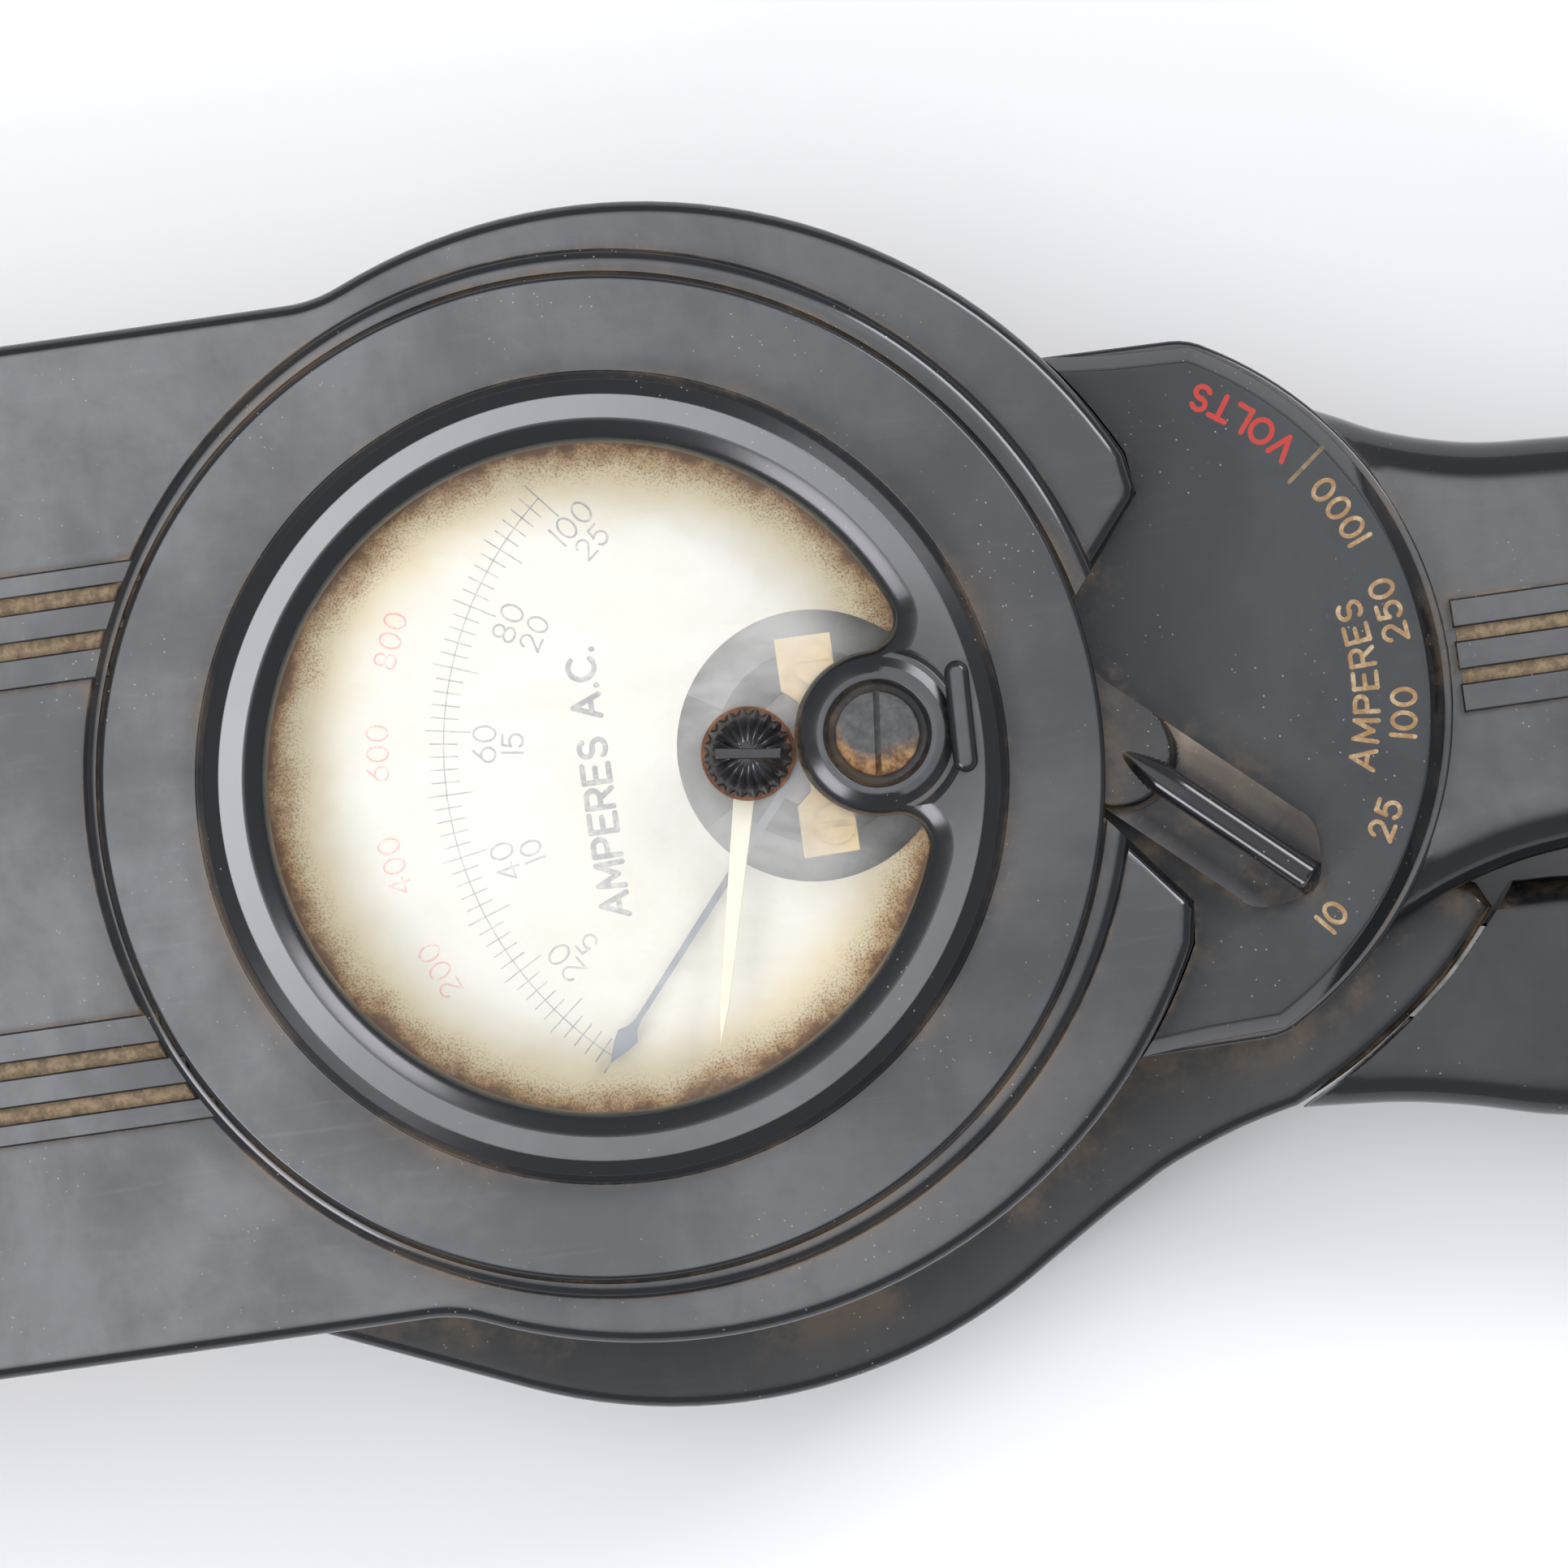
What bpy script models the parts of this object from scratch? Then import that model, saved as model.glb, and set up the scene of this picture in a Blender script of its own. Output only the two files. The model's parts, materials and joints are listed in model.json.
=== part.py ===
"""Clamp meter lying on its back: round meter, range selector, handle, squeeze lever and split jaws.

+X runs from the jaws to the handle, +Z up out of the dial. The origin is on the back face, under
the middle of the round body. Dimensions are in millimetres and become metres in make_object.
"""
import bpy
import bmesh
from math import acos, atan2, cos, degrees, pi, radians, sin, sqrt

MM = 0.001
GAP = 0.3
STEP_DEG = 8.0

# Heights of the layers above the back face
REAR_TOP = 9.0
ARM_Z = (9.5, 23.6)
SPLIT_Z = 24.2
SHELL_TOP = 43.0
BASE_TOP = 34.0
COVER_TOP = 37.5
FLANGE_TOP = 46.0
GLASS_Z = (44.8, 46.0)
RING_TOP = 49.5

# Round body and ribbed band
BODY_R = 60.1
BODY_X = 0.4
BODY_DY = 1.4
BAND_HALF = 52.6
FILLET_R = 14.0
ROOM_R = 51.2
NOTCH_OUT = (54.9, 21.2)
NOTCH_IN = (38.6, 1.1)

# Squeeze pivot, the arc where the moving jaw parts from the band, and the opening angle
PIVOT = (2.5, -7.85)
SPLIT_R = 90.85
HUB_R = 58.6
PIN_R = 4.0

# Jaws
JAW_TIP_X = -168.0
JAW_CORNER_R = 40.0
WINDOW_X = (-148.0, -106.0)
WINDOW_HALF = 28.0
FACE_Y = 0.15
CORE_Z = (15.0, 31.0)
CORE_INSET = 7.2
CORE_W = 9.0
CORE_BASE_X = -93.8
COIL_X = (-127.4, -104.6)

# Selector
SELECTOR = (45.0, 0.0)
BASE_AT = (44.4, 0.0)
BASE_R = 40.5
COVER_AT = (43.6, 0.0)
COVER_R = 40.0
SELECT_DEG = 45.75
STUD_R = 22.0
KNOB_DEG = -41.8
KNOB_SHIFT = -0.9

# Handle and lever
HANDLE_END = 181.0
CHANNEL_Y = -2.6
JACK_X = HANDLE_END - 12.4
JACK_Y = (1.0, 11.6)
TANG_ROOT = (66.0, -29.0)
TANG_DEG = -13.0

# Meter
METER = (-3.55, 0.0)
NEEDLE = (18.3, 0.2)
SET_KNOB = (11.6, 0.3)
BOSS = (25.0, 0.5)
KEY = (33.7, 1.0)
KEY_SIZE = (2.5, 11.5)
NEEDLE_REST = -130.6
HAND_REST = -103.5


def material(name, color, roughness, metallic=0.0):
    found = bpy.data.materials.get(name)
    if found:
        return found
    made = bpy.data.materials.new(name)
    made.use_nodes = True
    shader = made.node_tree.nodes["Principled BSDF"]
    shader.inputs["Base Color"].default_value = (*color, 1.0)
    shader.inputs["Roughness"].default_value = roughness
    shader.inputs["Metallic"].default_value = metallic
    return made


BLACK = ("phenolic", (0.035, 0.037, 0.038), 0.45)
KNOB_BLACK = ("knob_black", (0.015, 0.015, 0.017), 0.3)
IRON = ("core_iron", (0.30, 0.29, 0.28), 0.45, 1.0)
STEEL = ("steel", (0.45, 0.45, 0.45), 0.35, 1.0)
BRASS = ("brass", (0.70, 0.52, 0.25), 0.35, 1.0)
COPPER = ("copper_wire", (0.55, 0.22, 0.10), 0.4, 1.0)
FIBRE = ("fibre", (0.28, 0.13, 0.06), 0.8)
PAPER = ("dial_paper", (0.80, 0.76, 0.62), 0.7)
CREAM = ("cream_paint", (0.85, 0.79, 0.60), 0.5)
BLUE = ("needle_blue", (0.30, 0.34, 0.40), 0.45)
CLEAR = ("glass", (0.90, 0.92, 0.90), 0.08)
RUBBER = ("gasket", (0.05, 0.04, 0.04), 0.7)


def make_object(name, bm, look, origin=(0.0, 0.0, 0.0), smooth=35.0):
    """Turn a bmesh drawn in millimetres into a named object whose origin is at the given place."""
    bmesh.ops.remove_doubles(bm, verts=bm.verts, dist=1e-4)
    bmesh.ops.recalc_face_normals(bm, faces=bm.faces)
    for vert in bm.verts:
        vert.co = [(vert.co[i] - origin[i]) * MM for i in range(3)]
    mesh = bpy.data.meshes.new(name)
    bm.to_mesh(mesh)
    bm.free()
    mesh.shade_smooth()
    mesh.set_sharp_from_angle(angle=radians(smooth))
    mesh.materials.append(material(*look))
    obj = bpy.data.objects.new(name, mesh)
    obj.location = [value * MM for value in origin]
    bpy.context.collection.objects.link(obj)
    return obj


def arc(center, radius, start, end, step=STEP_DEG):
    """Points from angle start to angle end, in degrees, both ends included."""
    count = max(1, int(abs(end - start) / step + 0.5))
    turns = [radians(start + (end - start) * i / count) for i in range(count + 1)]
    return [(center[0] + radius * cos(t), center[1] + radius * sin(t)) for t in turns]


def slab_bm(outline, z0, z1, top=0.0, bottom=0.0, rounds=2):
    """Extrude a closed outline from z0 to z1, with rounded top and bottom rims."""
    bm = bmesh.new()
    verts = [bm.verts.new((x, y, z0)) for x, y in outline]
    base = bm.faces.new(verts)
    bmesh.ops.recalc_face_normals(bm, faces=[base])
    grown = bmesh.ops.extrude_face_region(bm, geom=[base])
    lifted = [item for item in grown["geom"] if isinstance(item, bmesh.types.BMVert)]
    bmesh.ops.translate(bm, verts=lifted, vec=(0, 0, z1 - z0))
    bmesh.ops.recalc_face_normals(bm, faces=bm.faces)
    for height, width in ((z1, top), (z0, bottom)):
        if width > 0.0:
            rim = [edge for edge in bm.edges if all(abs(v.co.z - height) < 1e-5 for v in edge.verts)]
            bmesh.ops.bevel(bm, geom=rim, offset=width, segments=rounds, profile=0.5,
                            affect="EDGES", clamp_overlap=True)
    return bm


def slab(name, outline, z0, z1, look=BLACK, **rims):
    origin = rims.pop("origin", (0.0, 0.0, 0.0))
    return make_object(name, slab_bm(outline, z0, z1, **rims), look, origin)


def turned(name, profile, center, look=BLACK, sides=48, origin=None):
    """Spin a closed (radius, z) profile about a vertical axis; radius 0 points sit on the axis."""
    bm = bmesh.new()
    rings = []
    for radius, z in profile:
        if radius < 1e-6:
            rings.append([bm.verts.new((center[0], center[1], z))])
        else:
            ring = arc(center, radius, 0.0, 360.0 - 360.0 / sides, 360.0 / sides)
            rings.append([bm.verts.new((x, y, z)) for x, y in ring])
    for here, there in zip(rings, rings[1:] + rings[:1]):
        for i in range(sides):
            j = (i + 1) % sides
            corners = [here[i % len(here)], here[j % len(here)], there[j % len(there)], there[i % len(there)]]
            corners = list(dict.fromkeys(corners))
            if len(corners) > 2:
                bm.faces.new(corners)
    return make_object(name, bm, look, origin or (center[0], center[1], 0.0))


def rod(name, center, radius, z0, z1, look=STEEL, sides=16, origin=None):
    return turned(name, [(0, z1), (radius, z1), (radius, z0), (0, z0)], center, look, sides, origin)


def bar(name, low, high, look=BLACK, angle=0.0, pivot=(0.0, 0.0)):
    """A block from low to high, turned by angle degrees about a vertical axis through pivot."""
    outline = [(low[0], low[1]), (high[0], low[1]), (high[0], high[1]), (low[0], high[1])]
    return slab(name, [turn(point, angle, pivot) for point in outline], low[2], high[2], look)


def turn(point, angle, pivot):
    c, s = cos(radians(angle)), sin(radians(angle))
    x, y = point[0] - pivot[0], point[1] - pivot[1]
    return (pivot[0] + c * x - s * y, pivot[1] + s * x + c * y)


def lying(obj, place, angle=90.0):
    """Lay a rod drawn about the vertical axis at the origin along +X and move its start to place."""
    for vert in obj.data.vertices:
        x, y, z = vert.co
        c, s = cos(radians(angle)), sin(radians(angle))
        vert.co = (c * x + s * z + place[0] * MM, y + place[1] * MM, c * z - s * x + place[2] * MM)
    return obj


def cleaned(mesh):
    """Merge the doubled points that a cut leaves behind."""
    bm = bmesh.new()
    bm.from_mesh(mesh)
    bmesh.ops.remove_doubles(bm, verts=bm.verts, dist=2e-6)
    bmesh.ops.dissolve_degenerate(bm, edges=bm.edges, dist=1e-6)
    bm.to_mesh(mesh)
    bm.free()
    return mesh


def combine(obj, others, operation):
    """Join or cut others into obj and delete them."""
    for other in others:
        step = obj.modifiers.new("combine", "BOOLEAN")
        step.operation = operation
        step.object = other
        step.solver = "EXACT"
        bpy.context.view_layer.update()
        result = bpy.data.meshes.new_from_object(obj.evaluated_get(bpy.context.evaluated_depsgraph_get()))
        obj.modifiers.remove(step)
        obj.data = cleaned(result)
        bpy.data.objects.remove(other)
    obj.data.name = obj.name
    while len(obj.data.materials) > 1:
        obj.data.materials.pop()
    obj.data.shade_smooth()
    obj.data.set_sharp_from_angle(angle=radians(35.0))
    return obj


def cut(obj, *others):
    return combine(obj, others, "DIFFERENCE")


def join(obj, *others):
    return combine(obj, others, "UNION")


def mirrored(points):
    """Reflect across the long axis and keep the direction of travel."""
    return [(x, -y) for x, y in reversed(points)]


def window_half():
    """Upper half of the conductor window, from its tip end to its base end."""
    x0, x1 = WINDOW_X
    tip = arc((x0 + 16, WINDOW_HALF - 16), 16, 180, 90, 15)
    base = arc((x1 - 8, WINDOW_HALF - 8), 8, 90, 0, 15)
    return [(x0, FACE_Y)] + tip + base + [(x1, FACE_Y)]


def jaw_contour():
    """Upper outer edge of a jaw, from the band round the corner to the tip."""
    center = (JAW_TIP_X + JAW_CORNER_R, BAND_HALF - JAW_CORNER_R)
    return arc(center, JAW_CORNER_R, 90, 180) + [(JAW_TIP_X, FACE_Y)]


def split_arc(radius, y0, y1):
    """Arc about the squeeze pivot on the jaw side, from height y0 to height y1."""
    def angle_at(y):
        return 180.0 - degrees(atan2(y - PIVOT[1], sqrt(radius ** 2 - (y - PIVOT[1]) ** 2)))
    return arc(PIVOT, radius, angle_at(y0), angle_at(y1), 4)


def upper_side(grow):
    """From the notch corner over the round body and its fillet to the band, growing outwards."""
    radius = BODY_R + grow
    center = (BODY_X, -BODY_DY)
    fillet_y = BAND_HALF + FILLET_R
    rise = fillet_y + BODY_DY
    run = sqrt((BODY_R + FILLET_R) ** 2 - rise ** 2)
    tangent = degrees(atan2(rise, -run))
    start = degrees(atan2(NOTCH_OUT[1] + BODY_DY, NOTCH_OUT[0] - BODY_X))
    round_side = arc(center, radius, start, tangent)
    fillet = arc((BODY_X - run, fillet_y), FILLET_R - grow, tangent + 180.0, 270.0)
    return round_side + fillet[1:]


def body_outline(grow=0.0, notch=True):
    """Round body, band and fixed jaw; the moving jaw's side stops at the split arc."""
    upper = upper_side(grow)
    points = upper + jaw_contour() + window_half()
    points += split_arc(SPLIT_R, FACE_Y, -BAND_HALF) + mirrored(upper)
    if notch:
        points += [(NOTCH_IN[0] + grow, -NOTCH_IN[1]), (NOTCH_IN[0] + grow, NOTCH_IN[1])]
    return points


def handle_outline(inset=0.0):
    """Selector base and grip, symmetric about the long axis."""
    grip = [(HANDLE_END - 3, 12.0), (HANDLE_END - 8, 16.8), (HANDLE_END - 15, 18.8), (155.0, 19.0),
            (130.0, 19.4), (110.0, 20.5)]
    flare = [(96.7, 21.2), (90.0, 21.8), (83.5, 23.4), (77.5, 26.0)]
    corner = [(62.0, 36.3 - inset), (46.0, 36.6 - inset)]
    side = [(HANDLE_END, 0.0), (HANDLE_END, 6.0)] + [(x, y - inset) for x, y in grip + flare]
    side += arc(BASE_AT, BASE_R - inset, 44, 58) + corner
    return side + mirrored(side[1:])


def build_fixed_shells():
    front = slab("front_shell", body_outline(), SPLIT_Z, SHELL_TOP, top=1.6)
    chord = degrees(acos(36.4 / ROOM_R))
    body_room = slab("room", arc((0, 0), ROOM_R, chord, 360 - chord), SPLIT_Z - 1, 39.8)
    band_room = slab("room2", [(-83, -47.5), (-30, -47.5), (-30, 47.5), (-83, 47.5)], SPLIT_Z - 1, 39.7)
    meter_hole = rod("hole", METER, 40.5, SPLIT_Z - 1, 60.0, sides=56)
    cut(front, body_room, band_room, meter_hole, core_slab("core_room", 0.4, SPLIT_Z - 1, CORE_Z[1] + 0.4),
        coil_room(SPLIT_Z - 1, 38.6))
    for side in (1, -1):
        for low, high in ((17.4, 20.5), (22.1, 25.1), (26.7, 29.0)):
            x_out = METER[0] - sqrt(54.0 ** 2 - high ** 2)
            join(front, bar("rib", (-86.0, min(side * low, side * high), SHELL_TOP - 0.5),
                            (x_out, max(side * low, side * high), SHELL_TOP + 0.7)))
    join(front, ring_slab("collar", METER, 52.2, 53.6, SHELL_TOP - 0.5, SHELL_TOP + 1.4, -45.0, 45.0))

    rear = slab("rear_shell", body_outline(notch=False), 0.0, SPLIT_Z - GAP, bottom=2.0)
    join(rear, slab("grip", handle_outline(0.5), 0.0, SPLIT_Z - GAP, bottom=2.0))
    low_z, high_z = REAR_TOP, SPLIT_Z + 5
    bay = slab("bay", [(-80, -1.2), (-80, -90), (240, -90), (240, CHANNEL_Y), (70, CHANNEL_Y), (70, 26),
                       (45, 33)] + arc((0, 0), ROOM_R, 40, 140) + [(-60, 44), (-83, 44), (-83, -1.2)],
               low_z, high_z)
    jaw_bay = slab("jaw_bay", split_arc(SPLIT_R + 3.0, -1.2, -90.0) + [(-40, -90), (-40, -1.2)], low_z, high_z)
    parts_room = bar("room3", (82.0, 1.0, 3.0), (163.0, 16.0, high_z))
    floor_room = turned("floor_room", [(11.5, 20.0), (49.0, 20.0), (49.0, 3.0), (11.5, 3.0)], PIVOT, sides=48)
    cut(rear, bay, jaw_bay, parts_room, floor_room,
        core_slab("core_room", 0.4, CORE_Z[0] - 0.4, high_z), coil_room(7.4, high_z),
        rod("pin_hole", PIVOT, PIN_R + GAP, -1, 20), rod("nut_hole", PIVOT, 7.3, -1, 2.6, sides=32))

    handle = slab("handle_front", handle_outline(), SPLIT_Z, BASE_TOP, top=6.0, rounds=3)
    notch_clear = slab("notch_clear", body_outline(GAP), SPLIT_Z - 1, SHELL_TOP + 5)
    wedge = [(40.4, -1.8)] + arc(SELECTOR, 29.0, -50, 50) + [(40.4, 1.8)]
    cut(handle, notch_clear, slab("switch_room", wedge, SPLIT_Z - 1, 31.8), rod("shaft_hole", SELECTOR, 3.3, 20, 40),
        bar("room4", (82.0, 1.0, SPLIT_Z - 1), (163.0, 16.0, 29.0)))
    for low in (-6.3, -1.9, 2.5):
        join(handle, bar("rib", (85.2, low, BASE_TOP - 0.6), (160.0, low + 3.8, BASE_TOP + 0.7)))
    cover_side = arc(COVER_AT, COVER_R, -61.5, 61.5) + [(54.2, 35.4), (36.0, 36.2), (36.0, -36.2), (54.2, -35.4)]
    cover = slab("selector_cover", cover_side, BASE_TOP + GAP, COVER_TOP, top=1.3)
    cut(cover, slab("notch_clear", body_outline(GAP), SPLIT_Z - 1, SHELL_TOP + 5),
        rod("shaft_hole", SELECTOR, 3.3, 20, 40))
    return front, rear, handle


def ring_slab(name, center, inner, outer, z0, z1, skip_from, skip_to):
    """Part of a flat ring that leaves out the angles from skip_from to skip_to."""
    outline = arc(center, outer, skip_to, 360 + skip_from) + arc(center, inner, 360 + skip_from, skip_to)
    return slab(name, outline, z0, z1)


def core_slab(name, grow, z0, z1, look=IRON, side=1):
    """Half of the laminated core, thickened by grow, drawn on the fixed side or mirrored."""
    outer = CORE_INSET - grow
    inner = CORE_INSET + CORE_W + grow
    center = (JAW_TIP_X + JAW_CORNER_R, BAND_HALF - JAW_CORNER_R)
    face = FACE_Y - (5.0 if grow else 0.0)
    points = [(CORE_BASE_X + grow, face), (CORE_BASE_X + grow, BAND_HALF - outer)]
    points += arc(center, JAW_CORNER_R - outer, 90, 180, 10) + [(JAW_TIP_X + outer, face)]
    points += [(JAW_TIP_X + inner, face)] + arc(center, JAW_CORNER_R - inner, 180, 90, 10)
    points += [(CORE_BASE_X - CORE_W - grow, BAND_HALF - inner), (CORE_BASE_X - CORE_W - grow, face)]
    if side < 0:
        points = mirrored(points)
    return slab(name, points, z0, z1, look)


def coil_room(z0, z1):
    return bar("coil_room", (COIL_X[0] - 0.6, 31.0, z0), (COIL_X[1] + 0.6, 49.6, z1))


def build_core_and_coil():
    leg = (BAND_HALF - CORE_INSET - CORE_W, BAND_HALF - CORE_INSET)
    core_slab("fixed_jaw_core", 0.0, *CORE_Z)
    x0, x1 = COIL_X

    def sleeve(name, grow, start, stop, look):
        return bar(name, (start, leg[0] - grow, CORE_Z[0] - grow), (stop, leg[1] + grow, CORE_Z[1] + grow), look)

    bobbin = sleeve("coil_bobbin", 1.3, x0, x1, FIBRE)
    for x in (x0, x1 - 1.5):
        join(bobbin, bar("cheek", (x, leg[0] - 4.2, 8.0), (x + 1.5, leg[1] + 4.2, 38.0), FIBRE))
    cut(bobbin, sleeve("hole", GAP, x0 - 5, x1 + 5, FIBRE))
    winding = bar("coil_winding", (x0 + 1.8, leg[0] - 4.0, 9.0), (x1 - 1.8, leg[1] + 4.0, 37.0), COPPER)
    cut(winding, sleeve("hole", 1.6, x0 - 5, x1 + 5, COPPER))


def build_pivot():
    turned("pivot_pin", [(0, 25.4), (3.0, 25.4), (3.0, 24.0), (PIN_R, 24.0), (PIN_R, 2.9), (2.6, 2.9), (2.6, 0.4),
                         (0, 0.4)], PIVOT, STEEL, 24)
    turned("pivot_nut", [(3.2, 2.6), (7.0, 2.6), (7.0, 0.5), (3.2, 0.5)], PIVOT, STEEL, 6)
    radius = ROOM_R - GAP
    chord = degrees(acos(36.0 / radius))
    plate = slab("chassis_plate", arc((0, 0), radius, chord, 360 - chord), 24.3, 25.4, STEEL)
    cut(plate, rod("hole", PIVOT, 3.3, 20, 30))
    spring_wire("return_spring", (*PIVOT, 4.2), 15.0, 0.8, 2.2, 1.75, 12.0)


def spring_wire(name, center, radius, wire, turns, pitch, leg):
    """Round-wire torsion spring whose two ends run straight out for the length of leg."""
    path = []
    steps = int(turns * 16)
    for i in range(steps + 1):
        t = 2 * pi * i / 16
        path.append((center[0] + radius * cos(t), center[1] + radius * sin(t), center[2] + pitch * t / (2 * pi)))
    last = 2 * pi * steps / 16
    path.insert(0, (path[0][0], path[0][1] - leg, path[0][2]))
    path.append((path[-1][0] - leg * sin(last), path[-1][1] + leg * cos(last), path[-1][2]))
    curve = bpy.data.curves.new(name, "CURVE")
    curve.dimensions = "3D"
    curve.bevel_depth = wire * MM
    curve.bevel_resolution = 0
    curve.use_fill_caps = True
    spline = curve.splines.new("POLY")
    spline.points.add(len(path) - 1)
    for point, place in zip(spline.points, path):
        point.co = (*[value * MM for value in place], 1.0)
    curve.materials.append(material(*STEEL))
    obj = bpy.data.objects.new(name, curve)
    bpy.context.collection.objects.link(obj)
    return obj


def build_moving_half(root):
    origin = (PIVOT[0], PIVOT[1], 0.0)
    seam = [(63.0, -43.9), (70.7, -39.9), (79.9, -33.0), (86.0, -26.3)]
    outline = [(84.6, -23.6), (60.0, -13.5), (17.0, 2.0)]
    outline += arc(PIVOT, 15.5, 55, 110, 15) + [(-30.0, -2.0)]
    outline += split_arc(SPLIT_R + 4.0, -2.0, -50.5) + [(-46.0, -50.8)] + arc(PIVOT, HUB_R, 247, 304)
    outline += [(42.3, -52.0), (49.7, -47.9), (56.9, -45.3)] + seam
    arm = slab("moving_arm", outline, *ARM_Z, top=1.2, bottom=1.2, origin=origin)
    jaw = split_arc(SPLIT_R + GAP, -FACE_Y, -BAND_HALF) + [(x, -y) for x, y in jaw_contour() + window_half()]
    jaw_rear = slab("jaw_rear", jaw, 0.0, SPLIT_Z - GAP, bottom=2.0)
    join(arm, jaw_rear)
    cut(arm, core_slab("core_room", 0.4, CORE_Z[0] - 0.4, SPLIT_Z + 5, side=-1),
        rod("pin_hole", PIVOT, PIN_R + 2.6, 0, 40, sides=32),
        slab("arm_room", [(-70, -44), (-20, -46), (20, -50), (44, -38), (44, -12), (-12, -12), (-22, -8), (-70, -8)],
             5.0, 20.0),
        tang_block("tang_slot", GAP))
    cover = slab("moving_jaw_cover", jaw, SPLIT_Z, SHELL_TOP, top=1.6, origin=origin)
    cut(cover, core_slab("core_room", 0.4, SPLIT_Z - 5, CORE_Z[1] + 0.4, side=-1))
    core = core_slab("moving_jaw_core", 0.0, *CORE_Z, side=-1)
    bush = turned("pivot_bush", [(PIN_R + 0.08, 23.9), (PIN_R + 2.3, 23.9), (PIN_R + 2.3, 9.5), (PIN_R + 0.08, 9.5)],
                  PIVOT, BRASS, 24, origin)

    plug = [(67.4, -42.5), (71.0, -40.3), (80.2, -33.4), (86.3, -26.7)]
    inner = [(88.0, -24.0), (94.0, -24.2), (102.0, -25.6), (120.0, -29.3), (140.0, -33.5), (156.0, -37.0)]
    end = [(163.5, -40.4), (168.0, -46.5), (168.6, -53.0), (166.0, -59.0), (160.5, -62.2), (152.0, -61.2)]
    outer = [(130.0, -56.7), (110.0, -52.8), (90.5, -48.9), (80.8, -46.5), (71.6, -45.0)]
    grip = slab("lever_grip", plug + inner + end + outer, 10.0, 23.6, top=4.0, bottom=4.0, rounds=3, origin=origin)
    tang = tang_block("lever_tang", 0.0)
    cut(grip, tang_block("tang_slot", GAP))
    for i, x in enumerate((91.0, 105.0)):
        place = turn((x, TANG_ROOT[1]), TANG_DEG, TANG_ROOT)
        cut(grip, rod("hole", place, 2.3, 5, 21.4))
        cut(tang, rod("hole", place, 2.3, 5, 30))
        rod(f"lever_rivet_{i + 1}", place, 2.0, 10.4, 21.0, BRASS, 20)
    for i, place in enumerate(((-153.4, -37.6), (-86.5, -46.6))):
        add_screw(f"jaw_screw_{i + 1}", place, arm, cover, 34.0)
    for obj in (arm, cover, core, bush, grip, tang):
        parent_to(obj, root)


def tang_block(name, grow):
    """Steel tang that joins the arm and the grip, or its slot when grown."""
    x, y = TANG_ROOT
    low = (x - 6.0 - grow, y - 5.0 - grow, 14.0 - grow)
    high = (x + 46.0 + grow, y + 5.0 + grow, 20.0 + grow)
    return bar(name, low, high, STEEL, angle=TANG_DEG, pivot=TANG_ROOT)


def add_screw(name, place, rear, front, tip):
    """Countersunk screw from the back through the rear piece into a blind hole in the front one."""
    cut(rear, rod("head_hole", place, 2.8, -1, 2.6), rod("hole", place, 1.7, -1, 60))
    cut(front, rod("hole", place, 1.7, 10, tip + 0.4))
    screw = turned(name, [(0, tip), (1.4, tip), (1.4, 2.2), (2.5, 2.2), (2.5, 0.5), (0, 0.5)], place, STEEL, 12)
    cut(screw, bar("slot", (place[0] - 4, place[1] - 0.4, -1), (place[0] + 4, place[1] + 0.4, 1.2)))


def parent_to(obj, root):
    obj.parent = root
    obj.matrix_parent_inverse = root.matrix_world.inverted()


def meter_profile():
    """Bezel section as (radius, z): rebate over the glass, raised ring, step and flat flange."""
    return [(36.6, 43.4), (51.6, 43.4), (51.6, 45.4), (51.0, FLANGE_TOP), (41.6, FLANGE_TOP), (40.6, 46.6),
            (39.9, 49.0), (39.2, RING_TOP), (37.2, RING_TOP), (35.9, 49.0), (34.9, 47.8), (34.3, 46.4), (36.6, 46.4)]


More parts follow.
